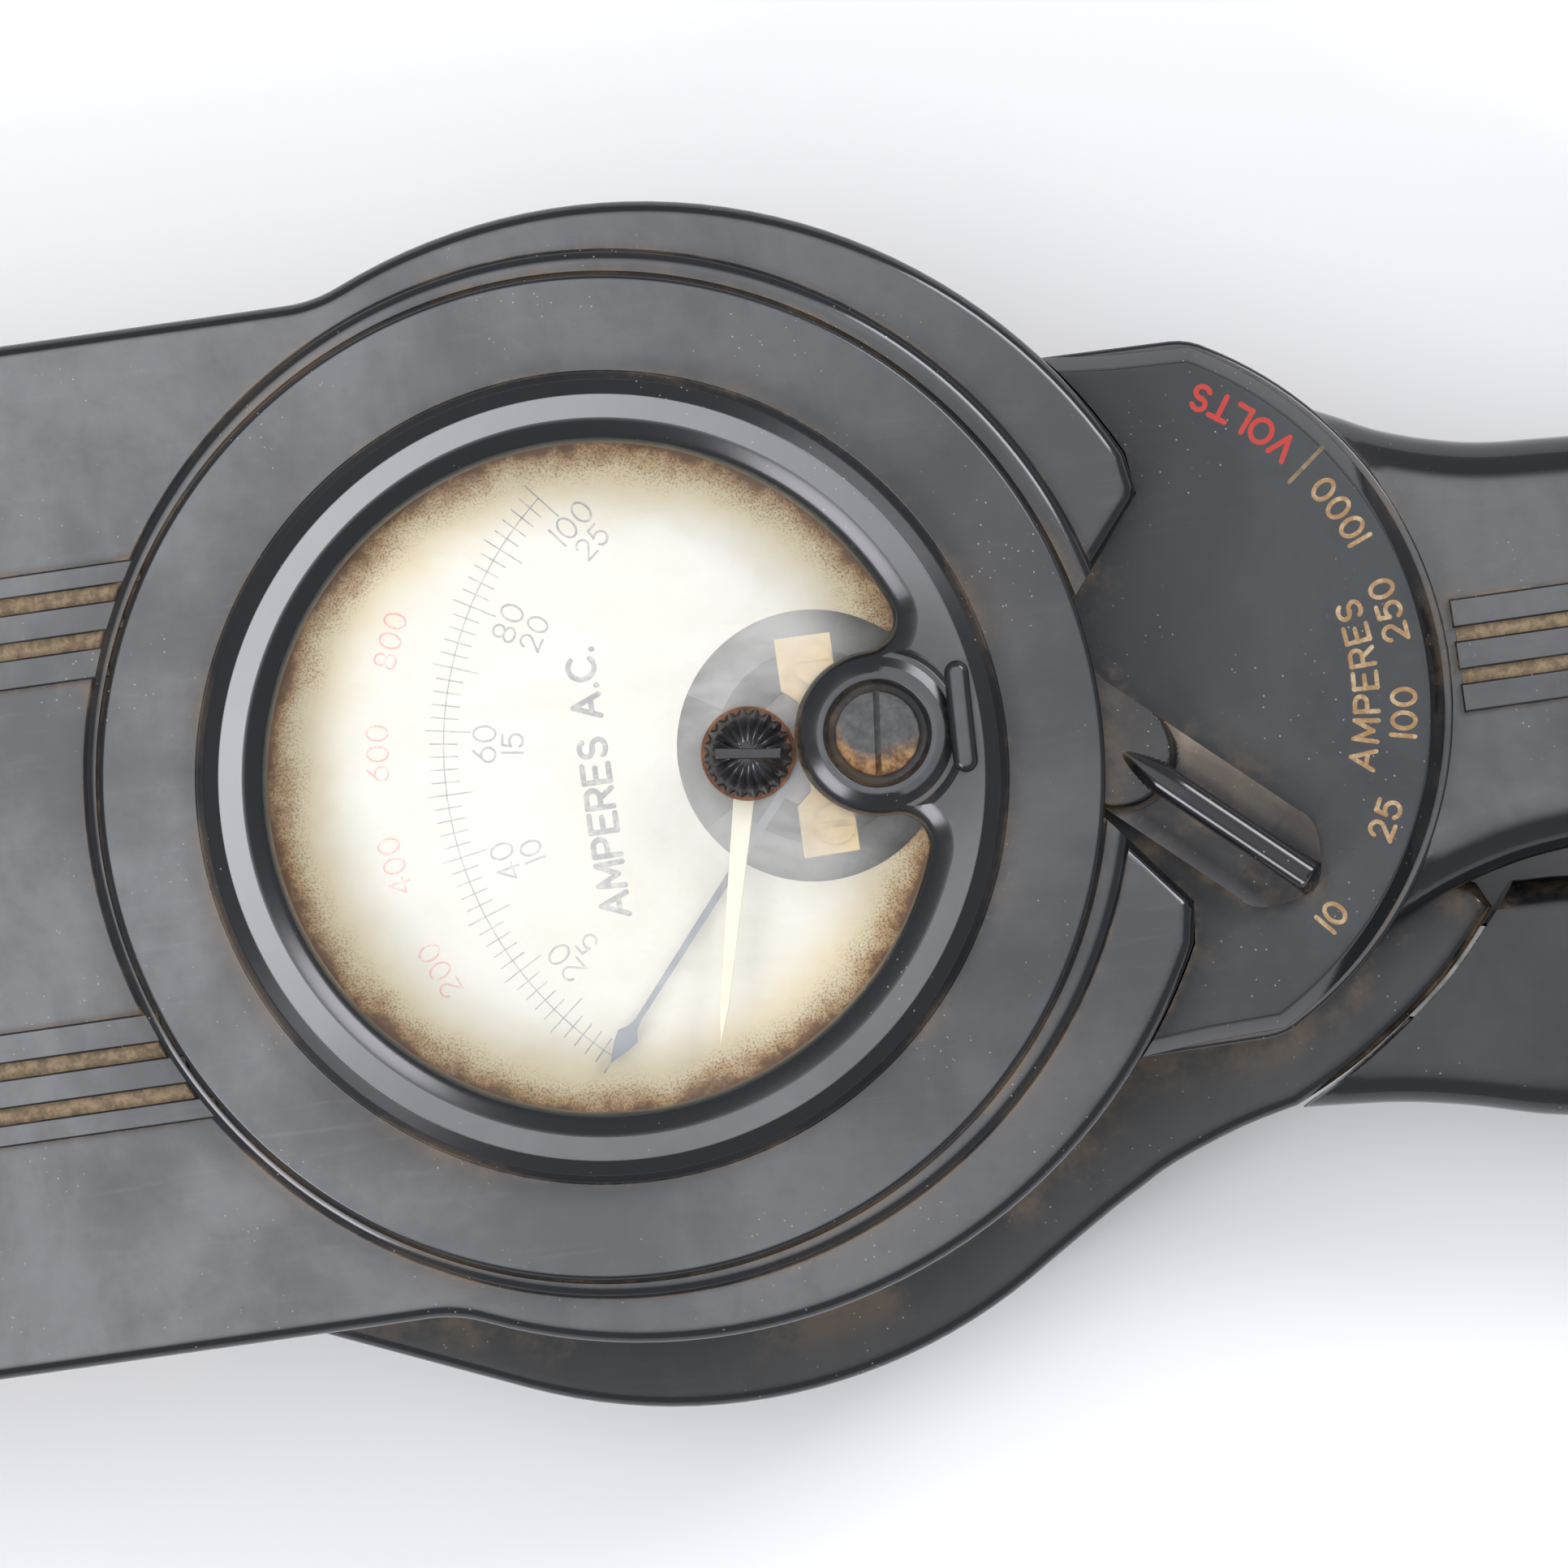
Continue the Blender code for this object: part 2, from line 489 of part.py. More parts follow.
def build_meter():
    bezel = turned("meter_bezel", meter_profile(), METER, sides=56)
    web = [(33.2, -13.0), (31.0, -12.4), (29.4, -10.8), (28.0, -8.9)] + arc(BOSS, 8.4, 290, 70, 16)
    web += [(28.0, 9.9), (29.4, 11.8), (31.0, 13.4), (33.2, 14.0)]
    boss = slab("boss", web, 46.4, 48.9, top=1.1)
    key = [(KEY[0] + sx * KEY_SIZE[0] / 2, KEY[1] + sy * (KEY_SIZE[1] / 2 - 0.8)) for sx, sy in
           ((-1, -1), (-0.4, -1.3), (0.4, -1.3), (1, -1), (1, 1), (0.4, 1.3), (-0.4, 1.3), (-1, 1))]
    join(bezel, boss, slab("key", key, 48.0, RING_TOP + 0.8, top=0.4))
    cut(bezel, rod("seat", BOSS, 4.9, 47.0, 60), rod("stem_hole", BOSS, 2.2, 40, 60))

    turned("meter_cup", [(35.6, 43.1), (40.1, 43.1), (40.1, 25.9), (0, 25.9), (0, 27.2), (38.6, 27.2), (38.6, 41.6),
                         (35.6, 41.6)], METER, BLACK, 40)
    turned("glass_gasket", [(34.8, 44.5), (36.3, 44.5), (36.3, 43.4), (34.8, 43.4)], METER, RUBBER, 40)
    glass = rod("dial_glass", METER, 36.3, *GLASS_Z, CLEAR, 48)
    cut(glass, rod("stem_hole", SET_KNOB, 1.6, 40, 50), rod("stem_hole", BOSS, 2.4, 40, 50))
    dial = rod("dial_plate", METER, 35.2, 39.4, 40.0, PAPER, 48)
    cut(dial, rod("movement_window", NEEDLE, 14.0, 35, 45, sides=32))

    outline = arc(NEEDLE, 15.5, -150, 150, 12) + arc(NEEDLE, 10.0, 150, -150, 12)
    slab("movement_magnet", outline, 28.0, 37.0, STEEL)
    rod("iron_core", NEEDLE, 6.2, 29.5, 36.0, IRON)
    x, y = NEEDLE
    bridge = bar("movement_bridge", (x - 2.6, y - 11.5, 38.2), (x + 3.6, y + 11.5, 39.2), BRASS)
    cut(bridge, rod("hole", NEEDLE, 1.2, 30, 45))
    for i, side in enumerate((8.3, -8.3)):
        place = (x + 1.2, y + side)
        cut(bridge, rod("hole", place, 1.5, 30, 45))
        screw = turned(f"bridge_screw_{i + 1}", [(0, 41.0), (2.1, 41.0), (2.1, 39.5), (1.2, 39.5), (1.2, 37.9),
                                                 (0, 37.9)], place, BRASS, 12)
        cut(screw, bar("slot", (place[0] - 3, place[1] - 0.35, 40.4), (place[0] + 3, place[1] + 0.35, 42)))
    spring_wire("hairspring", (x, y, 39.9), 3.0, 0.12, 1.4, 0.3, 0.8)


def build_needle(root):
    origin = (*NEEDLE, 0.0)
    x, y = NEEDLE
    blade = [(-9.0, -1.1), (-4.0, -0.6), (0, -0.6), (34.0, -0.3), (35.2, -1.2), (38.7, 0.0), (35.2, 1.2), (34.0, 0.3),
             (0, 0.6), (-4.0, 0.6), (-9.0, 1.1)]
    needle = slab("needle", [turn((x + u, y + v), NEEDLE_REST, NEEDLE) for u, v in blade], 41.5, 41.9, BLUE,
                  origin=origin)
    join(needle, rod("hub", NEEDLE, 2.0, 41.4, 42.2, BLUE))
    cut(needle, rod("hole", NEEDLE, 0.8, 40, 44))
    staff = turned("needle_staff", [(0, 42.4), (0.5, 42.4), (0.5, 37.9), (0, 37.9)], NEEDLE, STEEL, 12, origin)
    frame = slab("moving_coil", arc(NEEDLE, 8.6, -20, 20, 10) + arc(NEEDLE, 7.0, 20, -20, 10), 28.8, 37.4, COPPER,
                 origin=origin)
    join(frame, bar("bridge", (x - 8.4, y - 2.0, 36.5), (x + 8.2, y + 2.0, 37.6), COPPER))
    for obj in (needle, staff, frame):
        parent_to(obj, root)


def build_set_hand(root):
    origin = (*SET_KNOB, 0.0)
    x, y = SET_KNOB
    blade = [(-3.5, -1.2), (0, -1.2), (26.0, -0.5), (30.0, 0.0), (26.0, 0.5), (0, 1.2), (-3.5, 1.2)]
    hand = slab("set_hand", [turn((x + u, y + v), HAND_REST, SET_KNOB) for u, v in blade], 43.3, 43.8, CREAM,
                origin=origin)
    join(hand, rod("hub", SET_KNOB, 2.4, 43.2, 44.2, CREAM))
    cut(hand, rod("hole", SET_KNOB, 1.5, 42, 46))
    knob = turned("set_knob", [(0, 49.6), (2.2, 49.5), (3.8, 48.9), (4.5, 47.9), (4.6, 46.8), (1.2, 46.8),
                               (1.2, 42.9), (0, 42.9)], SET_KNOB, KNOB_BLACK, 24, origin)
    cut(knob, bar("slot", (x - 3.0, y - 0.45, 49.1), (x + 3.0, y + 0.45, 52)))
    turned("knob_washer", [(1.6, 46.6), (4.8, 46.6), (4.8, 46.2), (1.6, 46.2)], SET_KNOB, FIBRE, 24)
    for obj in (hand, knob):
        parent_to(obj, root)


def build_corrector(root):
    screw = turned("zero_corrector", [(0, 48.4), (4.1, 48.4), (4.4, 48.1), (4.4, 47.3), (1.9, 47.3), (1.9, 43.5),
                                      (0, 43.5)], BOSS, KNOB_BLACK, 24, (*BOSS, 0.0))
    cut(screw, bar("slot", (BOSS[0] - 0.5, BOSS[1] - 6, 47.8), (BOSS[0] + 0.5, BOSS[1] + 6, 50)))
    parent_to(screw, root)


def build_selector(root):
    origin = (*SELECTOR, 0.0)
    x, y = SELECTOR

    def along(points, angle=-SELECT_DEG, shift=0.0):
        return [turn((x + u, y + v + shift), angle, SELECTOR) for u, v in points]

    base = [(3.0, -4.0), (8.0, -5.4), (26.0, -5.4), (29.6, -3.4), (31.4, 0.0), (29.6, 3.4), (26.0, 5.4), (8.0, 5.4),
            (3.0, 4.0)]
    fin = [(6.0, -1.7), (30.0, -1.7), (31.0, 0.0), (30.0, 1.7), (6.0, 1.7)]
    knob = slab("selector_knob", along(base, KNOB_DEG, KNOB_SHIFT), COVER_TOP + GAP, 40.2, KNOB_BLACK, top=1.2,
                origin=origin)
    join(knob, rod("hub", SELECTOR, 5.0, COVER_TOP + GAP, 42.2, KNOB_BLACK, 32),
         slab("fin", along(fin, KNOB_DEG, KNOB_SHIFT), 39.0, 42.9, KNOB_BLACK, top=0.7))
    cut(knob, rod("socket", SELECTOR, 2.9, 30, 40.6))
    shaft = rod("selector_shaft", SELECTOR, 2.6, 25.0, 40.3, STEEL, 24, origin)
    wiper = slab("wiper", along([(2.9, -1.5), (24.0, -1.5), (24.0, 1.5), (2.9, 1.5)]), 29.6, 30.4, BRASS,
                 origin=origin)
    join(wiper, turned("collar", [(2.9, 31.4), (4.6, 31.4), (4.6, 29.2), (2.9, 29.2)], SELECTOR, BRASS, 24))
    wedge = arc(SELECTOR, 28.3, -48, 48) + [(41.2, 1.5), (41.2, -1.5)]
    wafer = slab("switch_wafer", wedge, 25.6, 27.2, FIBRE)
    cut(wafer, rod("hole", SELECTOR, 2.9, 20, 40))
    for i in range(6):
        angle = SELECT_DEG * (2 * i / 5 - 1)
        place = turn((x + STUD_R, y), angle, SELECTOR)
        rod(f"contact_stud_{i + 1}", place, 1.6, 27.5, 29.3, BRASS, 12)
    for obj in (knob, shaft, wiper):
        parent_to(obj, root)


def build_handle_parts():
    for i, x in enumerate((92.0, 116.0)):
        spool = turned(f"resistor_spool_{i + 1}", [(0, 15.0), (5.0, 15.0), (5.0, 13.8), (4.0, 13.8), (4.0, 1.2),
                                                   (5.0, 1.2), (5.0, 0), (0, 0)], (0, 0), FIBRE, 12)
        lying(spool, (x, 8.5, 16.0))
    fins = [(0, 16.0)]
    for i in range(4):
        fins += [(5.6, 16.0 - 4.0 * i), (5.6, 14.0 - 4.0 * i), (3.4, 14.0 - 4.0 * i), (3.4, 12.0 - 4.0 * i)]
    lying(turned("rectifier", fins + [(0, 0)], (0, 0), COPPER, 12), (144.0, 8.5, 16.0))
    return [lying(turned(f"volt_jack_{i + 1}", [(1.9, 12.0), (2.4, 12.0), (2.4, 0), (0, 0), (0, 2.0), (1.4, 2.0),
                                                (1.4, 12.0)], (0, 0), BRASS, 14), (JACK_X, y, 16.0))
            for i, y in enumerate(JACK_Y)]


def empty_at(name, place):
    root = bpy.data.objects.new(name, None)
    root.location = [value * MM for value in place]
    bpy.context.collection.objects.link(root)
    bpy.context.view_layer.update()
    return root


def main():
    for old in list(bpy.data.objects):
        bpy.data.objects.remove(old)
    front, rear, handle = build_fixed_shells()
    build_core_and_coil()
    build_pivot()
    build_moving_half(empty_at("squeeze_pivot", (*PIVOT, 0.0)))
    build_meter()
    build_needle(empty_at("needle_pivot", (*NEEDLE, 0.0)))
    build_set_hand(empty_at("hand_pivot", (*SET_KNOB, 0.0)))
    build_corrector(empty_at("corrector_pivot", (*BOSS, 0.0)))
    build_selector(empty_at("selector_pivot", (*SELECTOR, 0.0)))
    build_handle_parts()
    for y in JACK_Y:
        cut(rear, lying(rod("jack_hole", (0, 0), 2.7, 0, 40), (JACK_X - 0.4, y, 16.0)))
    places = [(-153.4, 37.6), (-87.0, 46.6), (-12.0, 53.0), (38.1, 39.0)]
    for i, place in enumerate(places):
        add_screw(f"rear_screw_{i + 1}", place, rear, front, 34.0)
    for i, place in enumerate(((76.0, 8.0), (166.0, 6.5))):
        add_screw(f"rear_screw_{i + 5}", place, rear, handle, 30.0)


main()
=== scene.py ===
"""Looks of the clamp meter: smooth shells, engraved and printed marks, aged phenolic, fogged glass."""
import bpy
import bmesh
import json
from math import acos, atan2, cos, degrees, pi, radians, sin, sqrt
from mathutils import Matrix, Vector


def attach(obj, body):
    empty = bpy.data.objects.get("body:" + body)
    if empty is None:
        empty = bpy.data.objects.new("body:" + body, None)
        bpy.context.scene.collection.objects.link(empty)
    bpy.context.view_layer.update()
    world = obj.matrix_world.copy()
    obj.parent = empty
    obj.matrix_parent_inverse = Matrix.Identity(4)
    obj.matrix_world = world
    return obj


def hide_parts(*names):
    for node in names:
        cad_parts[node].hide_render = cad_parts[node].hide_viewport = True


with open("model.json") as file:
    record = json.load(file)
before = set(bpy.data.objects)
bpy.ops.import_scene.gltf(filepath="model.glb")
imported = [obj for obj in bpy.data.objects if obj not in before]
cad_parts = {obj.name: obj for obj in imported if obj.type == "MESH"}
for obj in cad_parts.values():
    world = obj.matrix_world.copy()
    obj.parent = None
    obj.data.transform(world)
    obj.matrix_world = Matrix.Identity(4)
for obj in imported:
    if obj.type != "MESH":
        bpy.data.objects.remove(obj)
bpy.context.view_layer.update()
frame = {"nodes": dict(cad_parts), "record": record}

MM = 0.001
GAP = 0.3
STEP_DEG = 2.5

# Heights above the back face, as in the CAD
REAR_TOP = 9.0
ARM_Z = (9.5, 23.6)
SPLIT_Z = 24.2
SHELL_TOP = 43.0
BASE_TOP = 34.0
COVER_TOP = 37.5
FLANGE_TOP = 46.0
GLASS_Z = (44.8, 46.0)
RING_TOP = 49.5
DIAL_TOP = 40.0

# Outlines and centres, in millimetres
BODY_R = 60.08
BODY_X = 0.4
BODY_DY = 1.4
BAND_HALF = 52.58
FILLET_R = 14.0
NOTCH_OUT = (54.9, 21.2)
NOTCH_IN = (38.6, 1.1)
PIVOT = (2.5, -7.85)
SPLIT_R = 90.85
HUB_R = 58.55
JAW_TIP_X = -167.98
JAW_CORNER_R = 40.0
WINDOW_X = (-148.0, -106.0)
WINDOW_HALF = 28.0
FACE_Y = 0.15
SELECTOR = (45.0, 0.0)
BASE_AT = (44.4, 0.0)
BASE_R = 40.5
COVER_AT = (43.6, 0.0)
COVER_R = 38.7
SHOULDER = (46.0, 36.6)
RIB_START = -86.3
GRIP_RIBS = (85.4, 160.0)
HANDLE_END = 181.0
CONTACT_BAY = ((82.0, 1.0), (163.0, 16.0))
SHELL_BORE_R = 51.2
TANG_AT = (66.0, -29.0)
TANG_DEG = -13.0
SCREW_R = 1.7
METER = (-3.55, 0.0)
NEEDLE = (18.3, 0.2)
SET_KNOB = (11.6, 0.3)
BOSS = (25.0, 0.5)
KEY = (33.7, 1.0)
SCALE_R = 38.0
NEEDLE_REST = -130.6
SCALE_SWEEP = 99.5
HAND_REST = -103.5


# ---- outlines, in millimetres

def arc(center, radius, start, end, step=STEP_DEG):
    count = max(1, int(abs(end - start) / step + 0.5))
    turns = [radians(start + (end - start) * i / count) for i in range(count + 1)]
    return [(center[0] + radius * cos(t), center[1] + radius * sin(t)) for t in turns]


def turn(point, angle, pivot):
    c, s = cos(radians(angle)), sin(radians(angle))
    x, y = point[0] - pivot[0], point[1] - pivot[1]
    return (pivot[0] + c * x - s * y, pivot[1] + s * x + c * y)


def polar(center, radius, angle):
    return turn((center[0] + radius, center[1]), angle, center)


def swung(points, angle, place):
    """Points given from a place, turned about it."""
    return [turn((place[0] + u, place[1] + v), angle, place) for u, v in points]


def oblong(x0, y0, x1, y1):
    return [(x0, y0), (x1, y0), (x1, y1), (x0, y1)]


def mirrored(points):
    return [(x, -y) for x, y in reversed(points)]


def area(points):
    pairs = zip(points, points[1:] + points[:1])
    return sum(a[0] * b[1] - b[0] * a[1] for a, b in pairs) / 2


def corner_arc(before, here, after, radius, count=None):
    """Arc of the given radius that rounds the corner at here; nearly straight corners stay, unless count is given."""
    before, here, after = Vector(before), Vector(here), Vector(after)
    u, v = (before - here).normalized(), (after - here).normalized()
    half = u.angle(v) / 2
    if count is None and degrees(half) > 85:
        return [tuple(here)]
    reach = radius * cos(half) / sin(half)
    center = here + (u + v).normalized() * (radius / sin(half))
    first, last = here + u * reach - center, here + v * reach - center
    sweep = first.angle_signed(last)
    count = count or max(1, int(degrees(abs(sweep)) / 10 + 0.5))
    start = atan2(first.y, first.x)
    turns = [start - sweep * k / count for k in range(count + 1)]
    return [(center.x + radius * cos(t), center.y + radius * sin(t)) for t in turns]


def smooth_path(points, per_span=6):
    """Catmull-Rom curve through an open list of points."""
    ends = [points[0]] + points + [points[-1]]
    result = []
    for p0, p1, p2, p3 in zip(ends, ends[1:], ends[2:], ends[3:]):
        for k in range(per_span):
            t = k / per_span
            result.append(tuple(
                0.5 * (2 * p1[i] + (p2[i] - p0[i]) * t + (2 * p0[i] - 5 * p1[i] + 4 * p2[i] - p3[i]) * t * t
                       + (3 * p1[i] - p0[i] - 3 * p2[i] + p3[i]) * t ** 3) for i in (0, 1)))
    return result + [points[-1]]


def window_half():
    x0, x1 = WINDOW_X
    tip = arc((x0 + 16, WINDOW_HALF - 16), 16, 180, 90, 5)
    base = arc((x1 - 8, WINDOW_HALF - 8), 8, 90, 0, 7)
    return [(x0, FACE_Y)] + tip + base + [(x1, FACE_Y)]


def jaw_contour():
    center = (JAW_TIP_X + JAW_CORNER_R, BAND_HALF - JAW_CORNER_R)
    return arc(center, JAW_CORNER_R, 90, 180) + [(JAW_TIP_X, FACE_Y)]


def split_arc(radius, y0, y1):
    def angle_at(y):
        return 180 - degrees(atan2(y - PIVOT[1], sqrt(radius ** 2 - (y - PIVOT[1]) ** 2)))
    return arc(PIVOT, radius, angle_at(y0), angle_at(y1), 1.5)


def upper_side(grow=0.0):
    radius = BODY_R + grow
    center = (BODY_X, -BODY_DY)
    fillet_y = BAND_HALF + FILLET_R
    rise = fillet_y + BODY_DY
    run = sqrt((BODY_R + FILLET_R) ** 2 - rise ** 2)
    tangent = degrees(atan2(rise, -run))
    start = degrees(atan2(NOTCH_OUT[1] + BODY_DY, NOTCH_OUT[0] - BODY_X))
    round_side = arc(center, radius, start + 4, tangent)
    fillet = arc((BODY_X - run, fillet_y), FILLET_R - grow, tangent + 180, 270, 4)
    corner = corner_arc(NOTCH_IN, NOTCH_OUT, round_side[0], 2.2) if grow == 0 else [NOTCH_OUT]
    return corner + round_side + fillet[1:]


def body_outline(grow=0.0, notch=True):
    upper = upper_side(grow)
    points = upper + jaw_contour() + window_half()
    points += split_arc(SPLIT_R, FACE_Y, -BAND_HALF) + mirrored(upper)
    if notch:
        points += [(NOTCH_IN[0] + grow, -NOTCH_IN[1]), (NOTCH_IN[0] + grow, NOTCH_IN[1])]
    return points


def base_corner():
    """Where the round selector base meets its straight shoulder beside the V notch."""
    return corner_arc(arc(BASE_AT, BASE_R, 0, 61)[-1], (62.2, 36.35), SHOULDER, 7)


def handle_outline(inset=0.0):
    grip = [(HANDLE_END - 0.4, 0), (HANDLE_END - 0.6, 6), (HANDLE_END - 3, 12), (HANDLE_END - 8, 16.8),
            (HANDLE_END - 15, 18.7), (155, 18.95), (130, 19.4), (110, 20.4)]
    flare = [(96.7, 21.2), (93.4, 21.4), (90, 21.8), (86.7, 22.5), (83.5, 23.4), (80.2, 24.6), (77, 26.2)]
    base = arc(BASE_AT, BASE_R, 43, 61)
    side = smooth_path(grip + flare + [base[0]]) + base[1:] + base_corner() + [SHOULDER]
    side = [(x, y - inset) if x < HANDLE_END - 1 else (x, y) for x, y in side]
    return side + mirrored(side[1:])


# ---- mesh building

def inset(outline, distance):
    """Move a closed counter-clockwise outline inwards along its mitred corners."""
    points = [Vector(point) for point in outline]
    moved = []
    for before, here, after in zip(points[-1:] + points[:-1], points, points[1:] + points[:1]):
        a, b = (here - before).normalized(), (after - here).normalized()
        normal_a, normal_b = Vector((-a.y, a.x)), Vector((-b.y, b.x))
        miter = (normal_a + normal_b).normalized()
        moved.append(here + miter * (distance / max(0.4, miter.dot(normal_a))))
    return moved


def rim(z0, z1, bottom, top, steps=6):
    """Levels (inset, height) of a slab with quarter-round rims and a support line beside each."""
    def curve(size):
        turns = [radians(90.0 * k / steps) for k in range(steps + 1)]
        return [(size * (1 - sin(t)), size * (1 - cos(t))) for t in turns]

    low = [(bottom + 0.25, z0)] + [(d, z0 + h) for d, h in curve(bottom)] if bottom else [(0, z0)]
    high = [(h, z1 - d) for d, h in curve(top)] + [(top + 0.25, z1)] if top else [(0, z1)]
    return low + high


def skin(bm, low, high, closed=True):
    """Faces between two rows of points."""
    for i in range(len(low) if closed else len(low) - 1):
        j = (i + 1) % len(low)
        bm.faces.new((low[i], low[j], high[j], high[i]))


def loft(outline, levels):
    """Closed solid through inset copies of an outline at rising heights."""
    if area(outline) < 0:
        outline = list(reversed(outline))
    bm = bmesh.new()
    rings = []
    for distance, z in levels:
        ring = inset(outline, distance) if distance else outline
        rings.append([bm.verts.new((p[0], p[1], z)) for p in ring])
    for low, high in zip(rings, rings[1:]):
        skin(bm, low, high)
    bm.faces.new(list(reversed(rings[0])))
    bm.faces.new(rings[-1])
    return bm


def slab_bm(outline, z0, z1, bottom=0.0, top=0.0):
    return loft(outline, rim(z0, z1, bottom, top))


def turned_bm(profile, center=(0.0, 0.0), sides=128):
    """Spin a closed (radius, z) profile about a vertical axis."""
    bm = bmesh.new()
    rings = []
    for radius, z in profile:
        if radius < 1e-6:
            rings.append([bm.verts.new((center[0], center[1], z))])
        else:
            turns = [2 * pi * i / sides for i in range(sides)]
            rings.append([bm.verts.new((center[0] + radius * cos(t), center[1] + radius * sin(t), z)) for t in turns])
    for here, there in zip(rings, rings[1:] + rings[:1]):
        for i in range(sides):
            j = (i + 1) % sides
            corners = [here[i % len(here)], here[j % len(here)], there[j % len(there)], there[i % len(there)]]
            corners = list(dict.fromkeys(corners))
            if len(corners) > 2:
                bm.faces.new(corners)
    return bm


def rod_bm(center, radius, z0, z1, sides=48):
    return turned_bm([(0, z1), (radius, z1), (radius, z0), (0, z0)], center, sides)


def curve_profile(corners, steps=5):
    """Profile whose corners given as (r, z, radius) are rounded."""
    flat = [(r, z) for r, z, _ in corners]
    result = []
    for before, here, after, corner in zip(flat[-1:] + flat[:-1], flat, flat[1:] + flat[:1], corners):
        result += corner_arc(before, here, after, corner[2], steps) if corner[2] else [here]
    return result


def placed(name, data):
    obj = bpy.data.objects.new(name, data)
    bpy.context.collection.objects.link(obj)
    return obj


def add_object(name, bm, merge=True):
    if merge:
        bmesh.ops.remove_doubles(bm, verts=bm.verts, dist=1e-4)
        bmesh.ops.recalc_face_normals(bm, faces=bm.faces)
    for vert in bm.verts:
        vert.co *= MM
    mesh = bpy.data.meshes.new(name)
    bm.to_mesh(mesh)
    bm.free()
    return placed(name, mesh)


def combine(obj, bms, operation):
    for bm in bms:
        other = add_object("tool", bm)
        step = obj.modifiers.new("combine", "BOOLEAN")
        step.operation = operation
        step.object = other
        step.solver = "EXACT"
        bpy.context.view_layer.update()
        result = bpy.data.meshes.new_from_object(obj.evaluated_get(bpy.context.evaluated_depsgraph_get()))
        obj.modifiers.remove(step)
        obj.data = result
        bpy.data.objects.remove(other)
    return obj


def cut(obj, *bms):
    return combine(obj, bms, "DIFFERENCE")


def join(obj, *bms):
    return combine(obj, bms, "UNION")


def finish_piece(obj, body, look, replaces=(), smooth=32.0):
    """Tidy the mesh, shade it smooth, give it its finish and hang it on its body."""
    bm = bmesh.new()
    bm.from_mesh(obj.data)
    bmesh.ops.remove_doubles(bm, verts=bm.verts, dist=1e-6)
    bmesh.ops.dissolve_degenerate(bm, edges=bm.edges, dist=1e-6)
    bmesh.ops.triangulate(bm, faces=[face for face in bm.faces if len(face.verts) > 4])
    bm.to_mesh(obj.data)
    bm.free()
    obj.data.name = obj.name
    obj.data.materials.clear()
    obj.data.materials.append(look)
    obj.data.shade_smooth()
    obj.data.set_sharp_from_angle(angle=radians(smooth))
    normals = obj.modifiers.new("normals", "WEIGHTED_NORMAL")
    normals.keep_sharp = True
    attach(obj, body)
    if replaces:
        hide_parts(*replaces)
    return obj


def piece(name, bm, body, look, replaces=(), smooth=32.0):
    return finish_piece(add_object(name, bm), body, look, replaces, smooth)


def lettering(name, bm, look):
    """Strokes lie over each other, so they keep their own points and stay flat shaded."""
    obj = add_object(name, bm, merge=False)
    obj.data.materials.append(look)
    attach(obj, "body")
    return obj


# ---- materials

def spot_of(place, z):
    """A place on the part, in metres as the shaders see it."""
    return (place[0] * MM, place[1] * MM, z * MM)


